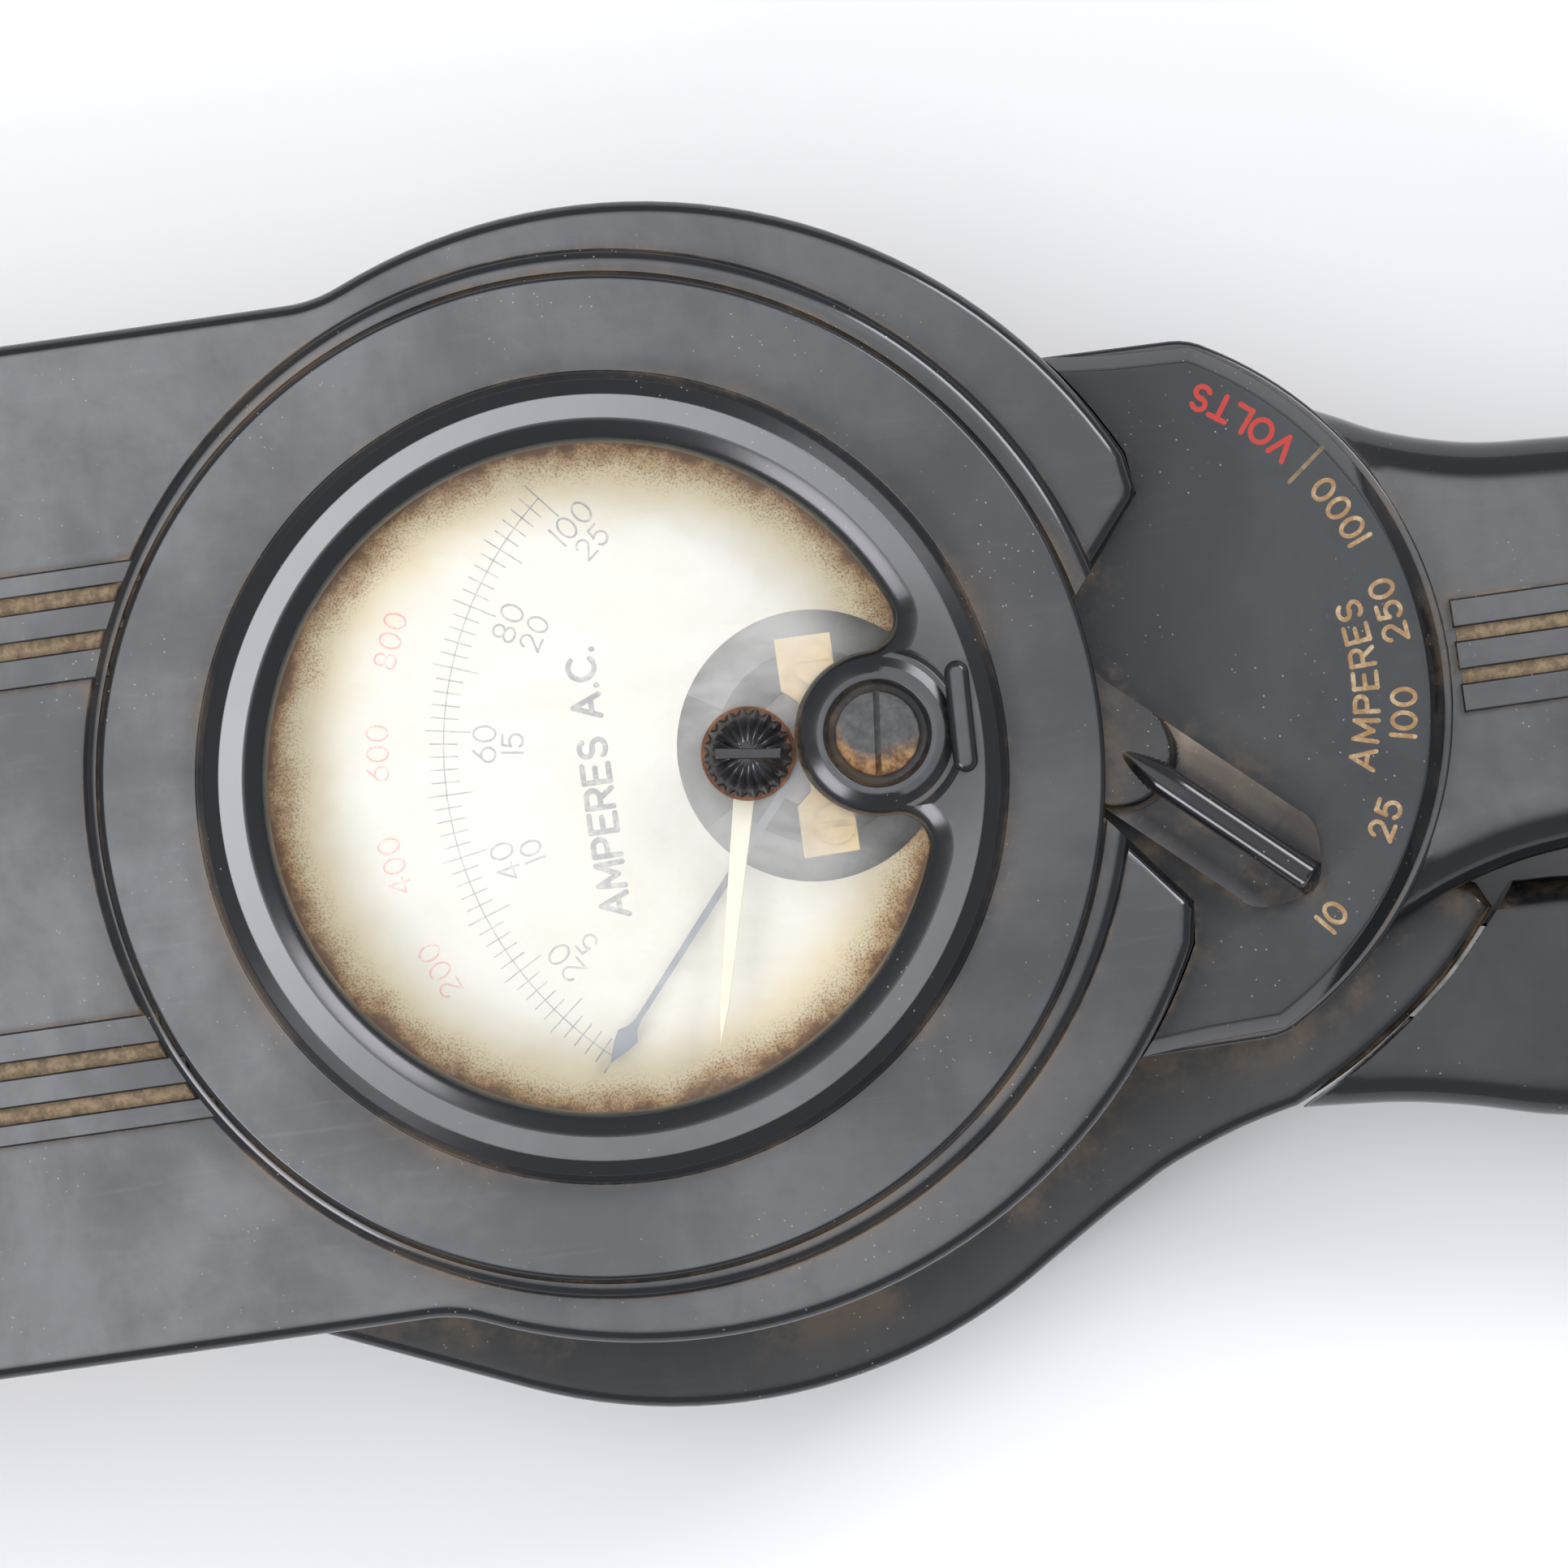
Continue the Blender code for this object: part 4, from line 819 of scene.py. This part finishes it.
def build_moving_side():
    outline = [(84.6, -23.6), (60, -13.5), (17, 2)]
    outline += arc(PIVOT, 15.5, 55, 110, 15) + [(-30, -2)]
    outline += split_arc(SPLIT_R + 4, -2, -50.5) + [(-46, -50.8)] + arc(PIVOT, HUB_R, 247, 304)
    outline += smooth_path([(42.3, -52), (46, -49.9), (49.7, -47.95), (56.9, -45.35), (63, -43.9)], 3)[:-1]
    outline += smooth_path([(63, -43.9), (70.7, -39.9), (79.9, -33), (85.95, -26.3)], 5)
    arm = add_object("moulded_arm", slab_bm(outline, *ARM_Z, top=1.6, bottom=1.2))
    jaw = split_arc(SPLIT_R + GAP, -FACE_Y, -BAND_HALF) + [(x, -y) for x, y in jaw_contour() + window_half()]
    join(arm, slab_bm(jaw, 0, SPLIT_Z - GAP, bottom=2.2))
    room = [(-70, -44), (-20, -46), (20, -50), (44, -38), (44, -12), (-12, -12), (-22, -8), (-70, -8)]
    cut(arm, core_bm(0.4, 14.6, SPLIT_Z + 5, side=-1), rod_bm(PIVOT, 6.6, 0, 40), slab_bm(room, 5, 20),
        tang_bm(GAP))
    for place in JAW_SCREWS:
        cut(arm, *screw_room(place, 34))
    finish_piece(arm, "moving_jaw", SHELL_LOW, ["moving_arm"], 28)

    cover = add_object("moulded_jaw_cover", slab_bm(jaw, SPLIT_Z, SHELL_TOP, top=1.7))
    cut(cover, core_bm(0.4, SPLIT_Z - 5, 31.4, side=-1))
    cut(cover, *(rod_bm(place, SCREW_R, 10, 34.4) for place in JAW_SCREWS))
    finish_piece(cover, "moving_jaw", SHELL, ["moving_jaw_cover"], 28)

    seam = smooth_path([(63.6, -44.4), (71, -40.3), (80.2, -33.4), (86.3, -26.7), (90, -22)], 5)
    inner = [(76, -22.6), (88, -23.9), (94, -24.2), (102, -25.6), (120, -29.3), (140, -33.5),
             (156, -37)]
    end = [(163.5, -40.4), (168, -46.5), (168.6, -53), (166, -59), (160.5, -62.2), (152, -61.2)]
    outer = [(130, -56.6), (110, -52.7), (97, -50.2), (90.5, -48.9), (87.4, -48.25), (80.8, -46.5),
             (74.1, -45.2), (67.4, -44.55), (64, -44.3)]
    edge = smooth_path(inner + end + outer)
    edge += corner_arc(outer[-1], (54, -44), (60, -22), 4.8)
    edge += corner_arc((54, -44), (60, -22), inner[0], 4.8)
    grip = add_object("moulded_lever", slab_bm(edge, 10, 23.6, 4, 4))
    cut(grip, slab_bm(seam + [(70, -10), (40, -20), (40, -52), (58, -52)], 5, 30), tang_bm(GAP))
    for x in (91, 105):
        cut(grip, rod_bm(turn((x, TANG_AT[1]), TANG_DEG, TANG_AT), 2.3, 5, 21.4))
    finish_piece(grip, "moving_jaw", SHELL_LOW, ["lever_grip"], 28)


JAW_SCREWS = [(-153.4, -37.6), (-86.5, -46.6)]


def tang_bm(grow):
    return bar_bm((60 - grow, -34 - grow, 14 - grow), (112 + grow, -24 + grow, 20 + grow),
                  TANG_DEG, TANG_AT)


# ---- meter

def dial_opening():
    """Inner edge of the ring: a circle that swings inwards round the corrector's boss, with filleted corners."""
    inner, boss_r, fillet = 34.3, 8.5, 3.2
    ring, boss = Vector(METER), Vector(BOSS)
    apart = boss - ring
    along = ((inner - fillet) ** 2 - (boss_r + fillet) ** 2 + apart.length ** 2) / (2 * apart.length)
    aside = sqrt((inner - fillet) ** 2 - along ** 2)
    unit = apart.normalized()
    middle = ring + unit * along
    upper, lower = middle + Vector((-unit.y, unit.x)) * aside, middle - Vector((-unit.y, unit.x)) * aside

    def heading(start, end):
        return degrees(atan2(end.y - start.y, end.x - start.x))

    low_turn, high_turn = heading(ring, lower), heading(ring, upper)
    points = arc(ring, inner, high_turn, low_turn + 360, 1.5)
    points += arc(lower, fillet, low_turn + 360, heading(lower, boss) + 360, 10)[1:]
    points += arc(boss, boss_r, heading(boss, lower) + 360, heading(boss, upper), 4)[1:]
    points += arc(upper, fillet, heading(upper, boss), high_turn, 10)[1:-1]
    return points


def build_bezel():
    """Flat flange, stepped ring, boss round the corrector and locating key, all one moulding."""
    section = [(0, 43.4, 0), (51.6, 43.4, 0.2), (51.6, FLANGE_TOP, 0.7), (41.7, FLANGE_TOP, 0.15),
               (41.45, 47, 0.4), (40.8, 48.5, 0.5), (39.2, RING_TOP, 0.5), (36.9, RING_TOP, 0),
               (0, RING_TOP, 0)]
    bezel = add_object("moulded_bezel", turned_bm(curve_profile(section), METER, 240))
    levels = [(0, 40), (0, 46.8), (-0.08, 47.5), (-0.3, 48.1), (-0.65, 48.5), (-1.1, 48.8), (-1.7, 49.1),
              (-2.2, 49.36), (-2.5, 49.47), (-2.7, 49.55), (-2.7, 52)]
    hole = loft(dial_opening(), levels)
    seat = [(0, 52, 0), (9.5, 52, 0), (9.5, 49.7, 0), (8.9, 49.3, 0.5), (8.4, 48.85, 0.4), (7.9, 48.75, 0.3),
            (6.9, 49.3, 0.9), (6.1, 49.48, 0.3), (5.5, 49.4, 0.25), (5.15, 48.7, 0.2), (5, 47, 0), (0, 47, 0)]
    cut(bezel, rod_bm(METER, 36.6, 40, 46.4, 240), hole, turned_bm(curve_profile(seat), BOSS, 120),
        rod_bm(BOSS, 2.2, 40, 60))
    ends = arc((KEY[0], KEY[1] + 4.5), 1.28, 0, 180, 15) + arc((KEY[0], KEY[1] - 4.5), 1.28, 180, 360, 15)
    join(bezel, slab_bm([turn(point, -2, KEY) for point in ends], 48.4, 50.25, top=0.98))
    return finish_piece(bezel, "body", BEZEL, ["meter_bezel"], 30)


def build_dial():
    dial = add_object("dial_card", rod_bm(METER, 35.2, 39.4, DIAL_TOP, 160))
    cut(dial, rod_bm(NEEDLE, 14, 35, 45, 96))
    finish_piece(dial, "body", CARD, ["dial_plate"])
    glass = add_object("cover_glass", rod_bm(METER, 36.3, *GLASS_Z, 160))
    cut(glass, rod_bm(SET_KNOB, 1.6, 40, 50), rod_bm(BOSS, 2.4, 40, 50))
    finish_piece(glass, "body", GLASS, ["dial_glass"])


def build_bridge():
    """Brass bridge over the movement: two lugs under the screws and a narrow waist."""
    x, y = NEEDLE
    half = [(-0.9, 0), (-0.9, 4.6), (-2.5, 6), (-2.5, 11.4), (3.4, 11.4), (3.4, 6), (0.9, 4.6), (0.9, 0)]
    lower = [(u, -v) for u, v in reversed(half[1:-1])]
    outline = [(x + u, y + v) for u, v in half + lower]
    bridge = add_object("brass_bridge", slab_bm(outline, 38.2, 39.2, top=0.12))
    cut(bridge, rod_bm(NEEDLE, 0.65, 30, 45, 24))
    for side in (8.3, -8.3):
        cut(bridge, rod_bm((x + 1.2, y + side), 1.5, 30, 45, 24))
    finish_piece(bridge, "body", BRASS, ["movement_bridge"])


def build_hands():
    blade = [(-9, -1.1), (-4, -0.55), (0, -0.5), (33.4, -0.3), (34.4, -0.5), (35.4, -1.2), (36.6, -0.9),
             (38.7, 0)]
    blade += [(u, -v) for u, v in reversed(blade[:-1])]
    needle = add_object("spade_needle", loft(swung(blade, NEEDLE_REST, NEEDLE), [(0, 41.5), (0, 41.9)]))
    join(needle, turned_bm([(0, 42.2), (1.7, 42.2), (2, 41.9), (2, 41.4), (0, 41.4)], NEEDLE, 48))
    cut(needle, rod_bm(NEEDLE, 0.8, 40, 44))
    finish_piece(needle, "pointer", NEEDLE_BLUE, ["needle"])

    blade = [(-3.5, -1.2), (0, -1.2), (26, -0.5), (30, 0), (26, 0.5), (0, 1.2), (-3.5, 1.2)]
    hand = add_object("cream_set_hand", slab_bm(swung(blade, HAND_REST, SET_KNOB), 43.3, 43.8, top=0.12))
    join(hand, rod_bm(SET_KNOB, 2.4, 43.2, 44.2))
    cut(hand, rod_bm(SET_KNOB, 1.5, 42, 46))
    finish_piece(hand, "hand", CREAM, ["set_hand"])


def build_set_knob():
    """Domed knob with tapering flutes and a straight raised bar across it."""
    x, y = SET_KNOB
    flutes, sides = 20, 240
    bm = bmesh.new()
    rings = []
    for level in range(13):
        share = level / 12
        radius = 0.9 + 3.7 * share
        crown = 49.15 - 1.9 * share ** 2.2
        ring = []
        for i in range(sides):
            t = 2 * pi * i / sides
            wave = abs(((i * flutes / sides) % 1) - 0.5) * 2
            depth = 0.75 * share * (1 - wave ** 1.5)
            edge = radius - 0.28 * share ** 3 * (1 - wave)
            ring.append(bm.verts.new((x + edge * cos(t), y + edge * sin(t), crown - depth)))
        rings.append(ring)
    rings.append([bm.verts.new((v.co.x, v.co.y, 46.8)) for v in rings[-1]])
    rings.append([bm.verts.new((x + 1.2 * cos(2 * pi * i / sides), y + 1.2 * sin(2 * pi * i / sides), 46.8))
                  for i in range(sides)])
    rings.append([bm.verts.new((v.co.x, v.co.y, 42.9)) for v in rings[-1]])
    for low, high in zip(rings, rings[1:]):
        skin(bm, low, high)
    bm.faces.new(list(reversed(rings[0])))
    bm.faces.new(rings[-1])
    knob = add_object("fluted_knob", bm)
    join(knob, slab_bm(swung(oblong(-3.4, -0.55, 3.4, 0.55), -8, SET_KNOB), 48, 49.6, top=0.18))
    finish_piece(knob, "hand", GLOSS, ["set_knob"], 40)

    washer = [(1.6, 46.6, 0), (4.85, 46.6, 0.12), (4.85, 46.2, 0.12), (1.6, 46.2, 0)]
    piece("fibre_washer", turned_bm(curve_profile(washer), SET_KNOB, 96), "body", FIBRE, ["knob_washer"])


def build_corrector():
    section = [(0, 48.2, 0), (4.35, 48.2, 0.25), (4.35, 47.3, 0), (1.9, 47.3, 0), (1.9, 43.5, 0), (0, 43.5, 0)]
    screw = add_object("slotted_corrector", turned_bm(curve_profile(section), BOSS, 96))
    cut(screw, bar_bm((BOSS[0] - 0.32, BOSS[1] - 6, 47.6), (BOSS[0] + 0.32, BOSS[1] + 6, 50), -6, BOSS))
    finish_piece(screw, "corrector", RUSTED, ["zero_corrector"])


# ---- selector knob

KNOB_DEG = -41.8
KNOB_SHIFT = -0.9
KNOB_HALF = 5.45
KNOB_END = 31.3
HUB_END = 6.2
FLANK_Z = 39.0
FIN_START = 6.5
FIN_FOOT = 40.9


def knob_place(u, v):
    return turn((SELECTOR[0] + u, SELECTOR[1] + v + KNOB_SHIFT), KNOB_DEG, SELECTOR)


def knob_width(u):
    """Half width of the pointer at the distance u from its axis."""
    if u < 25.6:
        return KNOB_HALF
    return KNOB_HALF * max(0, 1 - ((u - 25.6) / 5.75) ** 2.14) + 0.1


def knob_height(u, v):
    """Top of the pointer: flat hub, hollowed flanks, and a rounded fin down the middle."""
    side = abs(v)
    hub_edge = HUB_END + sqrt(max(0, 5.5 ** 2 - side ** 2)) if side < 5.5 else HUB_END
    flank = FLANK_Z + 0.85 * ((side - 1.6) / 3.9) ** 1.6 if side > 1.6 else FLANK_Z
    flank -= 0.5 * max(0, (u - 24) / 6)
    step = min(1, max(0, (u - hub_edge) / 1.1))
    step = step * step * (3 - 2 * step)
    top = 41 * (1 - step) + flank * step
    rise = sin(pi / 2 * min(1, max(0, (u - FIN_START) / 9)))
    fall = min(1, max(0, (31 - u) / 1.2)) ** 0.5
    ridge = abs(v - 0.3)
    half = 1.65 * (0.45 + 0.55 * min(1, max(0, (u - FIN_START) / 5)))
    if ridge < half and u > FIN_START:
        crest = FIN_FOOT + (42.85 - FIN_FOOT) * rise
        body = crest - 1.5 * (1 - sqrt(1 - (ridge / half) ** 2 * 0.98))
        top = max(top, 38.8 + (body - 38.8) * fall)
    return top


def build_selector_knob():
    bm = bmesh.new()
    rows = [i / 170 for i in range(171)]
    columns = [-1 + 2 * j / 72 for j in range(73)]
    top, bottom = [], []
    for share in rows:
        spots = []
        for t in columns:
            start = 1.3 - 3.3 * t
            u = start + (KNOB_END - start) * share
            spots.append((u, t * knob_width(u)))
        top.append([bm.verts.new((*knob_place(*spot), knob_height(*spot))) for spot in spots])
        bottom.append([bm.verts.new((*knob_place(*spot), COVER_TOP + GAP)) for spot in spots])
    for grid in (top, bottom):
        for a, b in zip(grid, grid[1:]):
            skin(bm, a, b, closed=False)
    for upper, lower in ((top[0], bottom[0]), (top[-1], bottom[-1]),
                         ([row[0] for row in top], [row[0] for row in bottom]),
                         ([row[-1] for row in top], [row[-1] for row in bottom])):
        skin(bm, upper, lower, closed=False)
    knob = add_object("pointer_knob", bm)
    foot = COVER_TOP + GAP
    join(knob, turned_bm([(0, FIN_FOOT), (4.7, FIN_FOOT), (5, 40.6), (5, foot), (0, foot)], SELECTOR))
    cut(knob, rod_bm(SELECTOR, 2.9, 30, 40.6))
    return finish_piece(knob, "selector", KNOB, ["selector_knob"], 38)


# ---- lettering

def oval(cx, cy, rx, ry, start=0.0, end=360.0, steps=20):
    return [(cx + rx * cos(radians(start + (end - start) * i / steps)),
             cy + ry * sin(radians(start + (end - start) * i / steps))) for i in range(steps + 1)]


# Strokes on a grid one unit high
GLYPHS = {
    "0": [oval(0.36, 0.5, 0.34, 0.5)],
    "1": [[(0.1, 0), (0.1, 1)]],
    "2": [oval(0.33, 0.70, 0.30, 0.30, 170, -30, 12) + [(0.02, 0), (0.66, 0)]],
    "4": [[(0.5, 0), (0.5, 1), (0, 0.3)], [(0, 0.3), (0.7, 0.3)]],
    "5": [[(0.6, 1), (0.12, 1), (0.06, 0.56)] + oval(0.32, 0.33, 0.33, 0.33, 118, -150, 16)],
    "6": [[(0.52, 1)] + oval(0.34, 0.32, 0.32, 0.32, 150, -210, 20)],
    "7": [[(0, 1), (0.64, 1), (0.22, 0)]],
    "8": [oval(0.34, 0.74, 0.27, 0.26), oval(0.34, 0.25, 0.33, 0.25)],
    "A": [[(0, 0), (0.38, 1), (0.76, 0)], [(0.14, 0.32), (0.62, 0.32)]],
    "C": [oval(0.42, 0.5, 0.42, 0.5, 48, 312, 16)],
    "E": [[(0.6, 1), (0, 1), (0, 0), (0.6, 0)], [(0, 0.52), (0.5, 0.52)]],
    "L": [[(0, 1), (0, 0), (0.58, 0)]],
    "M": [[(0, 0), (0.06, 1), (0.42, 0.2), (0.78, 1), (0.84, 0)]],
    "O": [oval(0.46, 0.5, 0.44, 0.5)],
    "P": [[(0, 0), (0, 1), (0.34, 1)] + oval(0.34, 0.74, 0.26, 0.26, 80, -90, 10) + [(0, 0.48)]],
    "R": [[(0, 0), (0, 1), (0.36, 1)] + oval(0.36, 0.74, 0.26, 0.26, 80, -90, 10) + [(0, 0.48)],
          [(0.32, 0.48), (0.64, 0)]],
    "S": [oval(0.34, 0.75, 0.28, 0.25, 30, 262, 12) + oval(0.34, 0.26, 0.30, 0.26, 98, -150, 14)],
    "T": [[(0, 1), (0.7, 1)], [(0.35, 0), (0.35, 1)]],
    "V": [[(0, 1), (0.36, 0), (0.72, 1)]],
    ".": [[(0.06, 0), (0.06, 0.02)]],
    " ": [],
}
GLYPH_GAP = 0.26


def glyph_width(letter):
    points = [x for stroke in GLYPHS[letter] for x, _ in stroke]
    return max(points) if points else 0.3


def text_width(text):
    return sum(glyph_width(letter) + GLYPH_GAP for letter in text) - GLYPH_GAP


def ribbons(path, sharp=50.0):
    """Split a path at its sharp corners."""
    parts, part = [], [Vector(path[0])]
    for here, after in zip(path[1:], list(path[2:]) + [None]):
        part.append(Vector(here))
        if after is not None and degrees((part[-1] - part[-2]).angle(Vector(after) - part[-1])) > sharp:
            parts.append(part)
            part = [Vector(here)]
    return parts + [part]


def add_stroke(bm, path, width, z0, z1):
    """Raised strokes with sloping flanks and round ends; each one is a little higher than the one before."""
    for count, part in enumerate(ribbons(path)):
        closed = (part[0] - part[-1]).length < 1e-6
        if closed:
            part = part[:-1]
        stations = []
        for i, here in enumerate(part):
            before = part[i - 1] if i or closed else None
            after = part[(i + 1) % len(part)] if i + 1 < len(part) or closed else None
            along = (here - before).normalized() if before else Vector((0, 0))
            along = (along + (after - here).normalized()).normalized() if after else along
            stations.append((here, along, 1))
        if not closed:
            turns = [radians(25 * k) for k in (1, 2, 3)]
            (first, ahead, _), (last, onward, _) = stations[0], stations[-1]
            stations = ([(first - ahead * (width / 2 * sin(t)), ahead, cos(t)) for t in reversed(turns)] + stations
                        + [(last + onward * (width / 2 * sin(t)), onward, cos(t)) for t in turns])
        top = z1 + 0.0035 * count
        rows = []
        for here, along, share in stations:
            side = Vector((-along.y, along.x)) * (width / 2 * share)
            spots = [(here - side, z0), (here - side * 0.72, top), (here + side * 0.72, top), (here + side, z0)]
            rows.append([bm.verts.new((*spot, z)) for spot, z in spots])
        pairs = zip(rows, rows[1:] + rows[:1]) if closed else zip(rows, rows[1:])
        for a, b in pairs:
            for j in range(4):
                k = (j + 1) % 4
                bm.faces.new((a[j], b[j], b[k], a[k]))
        if not closed:
            bm.faces.new(rows[0])
            bm.faces.new(list(reversed(rows[-1])))


def write(bm, text, place, height, width, z, up_deg, thick=0.01, stretch=1.0):
    """Write text centred on a place, its letters' tops towards the direction up_deg."""
    start = -text_width(text) / 2 * height * stretch
    turn_deg = up_deg - 90
    for letter in text:
        for count, stroke in enumerate(GLYPHS[letter]):
            path = [turn((place[0] + start + px * height * stretch, place[1] + (py - 0.5) * height), turn_deg, place)
                    for px, py in stroke]
            add_stroke(bm, path, width, z - 0.03, z + thick + 0.0012 * (count + 1))
        start += (glyph_width(letter) + GLYPH_GAP) * height * stretch


def write_round(bm, text, radius, angle, height, width, spacing=1.0, stretch=1.0):
    """Write on the selector plate along an arc, tops towards its centre; reading runs counter-clockwise."""
    total = text_width(text) * height * spacing
    travelled = 0
    for letter in text:
        step = glyph_width(letter) * height * spacing
        middle = angle - degrees((total / 2 - travelled - step / 2) / radius)
        write(bm, letter, polar(SELECTOR, radius, middle), height, width, COVER_TOP, middle + 180, 0.03, stretch)
        travelled += step + GLYPH_GAP * height * spacing


def build_selector_labels():
    tan = bmesh.new()
    for text, angle, radius in (("1000", 28.2, 34.7), ("250", 9.4, 34.5), ("100", -8.5, 34.45), ("25", -27.1, 34.4),
                                ("10", -46.2, 34.35)):
        write_round(tan, text, radius, angle, 2.4, 0.55, 1.05)
    write_round(tan, "AMPERES", 30.6, -3.1, 2.4, 0.55, 1.16, 1.08)
    lettering("range_numerals", tan, TAN_FILL)
    bar = bmesh.new()
    ends = [polar(SELECTOR, r, 38.1) for r in (32.7, 37.6)]
    add_stroke(bar, ends, 0.5, COVER_TOP - 0.02, COVER_TOP + 0.025)
    lettering("range_divider", bar, DIRT)
    red = bmesh.new()
    write_round(red, "VOLTS", 34.95, 51, 2.45, 0.65, 1.02)
    lettering("volts_legend", red, RED_FILL)


def build_scale():
    """Printed scale: arc, ticks, two rows of ampere numerals, faded volt numerals and the legend."""
    z = DIAL_TOP + 0.02
    print_bm = bmesh.new()
    count = 50
    angles = [229.4 - SCALE_SWEEP * i / count for i in range(count + 1)]
    add_stroke(print_bm, [polar(NEEDLE, SCALE_R, a) for a in angles], 0.16, z - 0.03, z)
    for i, a in enumerate(angles):
        low, high = (35.3, 39.9) if i % 5 == 0 else (36.6, 39.4)
        add_stroke(print_bm, [polar(NEEDLE, r, a) for r in (low, high)], 0.17, z - 0.03, z)
    for text, small, a in (("20", "5", 213.2), ("40", "10", 192.6), ("60", "15", 171.7), ("80", "20", 150),
                           ("100", "25", 129.3)):
        for word, radius, size in ((text, 33.8, 2.3), (small, 30.9, 2.1)):
            write(print_bm, word, polar(NEEDLE, radius, a), size, 0.26, z, a)
    write(print_bm, "AMPERES A.C.", (-4.2, -0.5), 2.7, 0.62, z, 180, stretch=1.08)
    lettering("dial_print", print_bm, DIAL_INK)
    red = bmesh.new()
    for text, a in (("200", 203), ("400", 188), ("600", 173), ("800", 158)):
        write(red, text, polar(NEEDLE, 44.8, a), 2.2, 0.24, z, a)
    lettering("dial_volt_print", red, DIAL_RED)


# ---- inner parts keep their CAD shape

def dress_inner_nodes():
    looks = {"core_iron": IRON, "steel": STEEL, "brass": BRASS, "copper_wire": COPPER, "fibre": FIBRE,
             "gasket": RUBBER, "phenolic": SHELL_LOW}
    special = {"movement_magnet": DULL}
    slots = {item["node"]: item["material_slot"] for item in frame["record"]["subparts"]}
    for name, obj in frame["nodes"].items():
        if not obj.hide_render:
            obj.data.materials.clear()
            obj.data.materials.append(special.get(name, looks[slots[name]]))


# ---- studio

def area_light(name, place, size, power, color=(1.0, 1.0, 1.0), aim=(0.01, 0.0, 0.03)):
    data = bpy.data.lights.new(name, "AREA")
    data.shape = "RECTANGLE"
    data.size, data.size_y = size
    data.energy = power
    data.color = color
    lamp = placed(name, data)
    lamp.location = place
    lamp.visible_camera = False
    lamp.rotation_euler = (Vector(aim) - Vector(place)).to_track_quat("-Z", "Y").to_euler()


IMAGE_TILT = -8.1
VIEW_CENTER = (14.8, -3.3)
VIEW_WIDTH = 161.0
VIEW_DISTANCE = 1.6


def build_studio():
    n = Nodes("pale_floor")
    split = n.add("ShaderNodeSeparateXYZ")
    n.put(split.inputs[0], n.place["Object"])
    # The floor is painted darker towards the lower right of the view: a painted light falloff.
    slope = n.minus(n.times(split.outputs[0], 0.8), split.outputs[1])
    paper = n.mix(n.span(slope, -0.12, 0.16), (0.925, 0.925, 0.925), (0.79, 0.79, 0.795))
    n.set(Base_Color=n.mix(n.times(n.noise(60, 3), 0.03), paper, (0.7, 0.7, 0.71)), Roughness=0.75)
    mesh = bpy.data.meshes.new("floor")
    half = 4
    mesh.from_pydata([(-half, -half, 0), (half, -half, 0), (half, half, 0), (-half, half, 0)], [], [(0, 1, 2, 3)])
    floor = placed("floor", mesh)
    floor.data.materials.append(n.material)

    world = bpy.data.worlds.new("studio")
    bpy.context.scene.world = world
    world.use_nodes = True
    sky = world.node_tree.nodes["Background"].inputs
    sky["Color"].default_value = (0.93, 0.96, 1, 1)
    sky["Strength"].default_value = 0.52

    def seen(angle, reach, height):
        t = radians(angle + IMAGE_TILT)
        return (0.01 + reach * cos(t), reach * sin(t), height)

    area_light("key", seen(150, 0.40, 1.15), (1.2, 1.2), 7)
    area_light("box_right", seen(47, 0.94, 0.74), (0.55, 0.34), 7.5, (0.94, 0.93, 1))
    area_light("box_left", seen(227, 0.92, 0.72), (0.55, 0.34), 7.5, (0.94, 0.93, 1))

    data = bpy.data.cameras.new("camera")
    data.lens = 36 * VIEW_DISTANCE / (VIEW_WIDTH * MM)
    data.clip_end = 20
    camera = placed("camera", data)
    camera.location = (VIEW_CENTER[0] * MM, VIEW_CENTER[1] * MM, SHELL_TOP * MM + VIEW_DISTANCE)
    camera.rotation_euler = (0, 0, radians(IMAGE_TILT))
    scene = bpy.context.scene
    scene.camera = camera
    scene.view_settings.view_transform = "Standard"


def main():
    build_front_shell()
    build_groove_dust()
    build_rear_shell()
    build_handle()
    build_selector_base()
    build_moving_side()
    build_bezel()
    build_dial()
    build_bridge()
    build_hands()
    build_set_knob()
    build_corrector()
    build_selector_knob()
    build_selector_labels()
    build_scale()
    dress_inner_nodes()
    build_studio()


main()
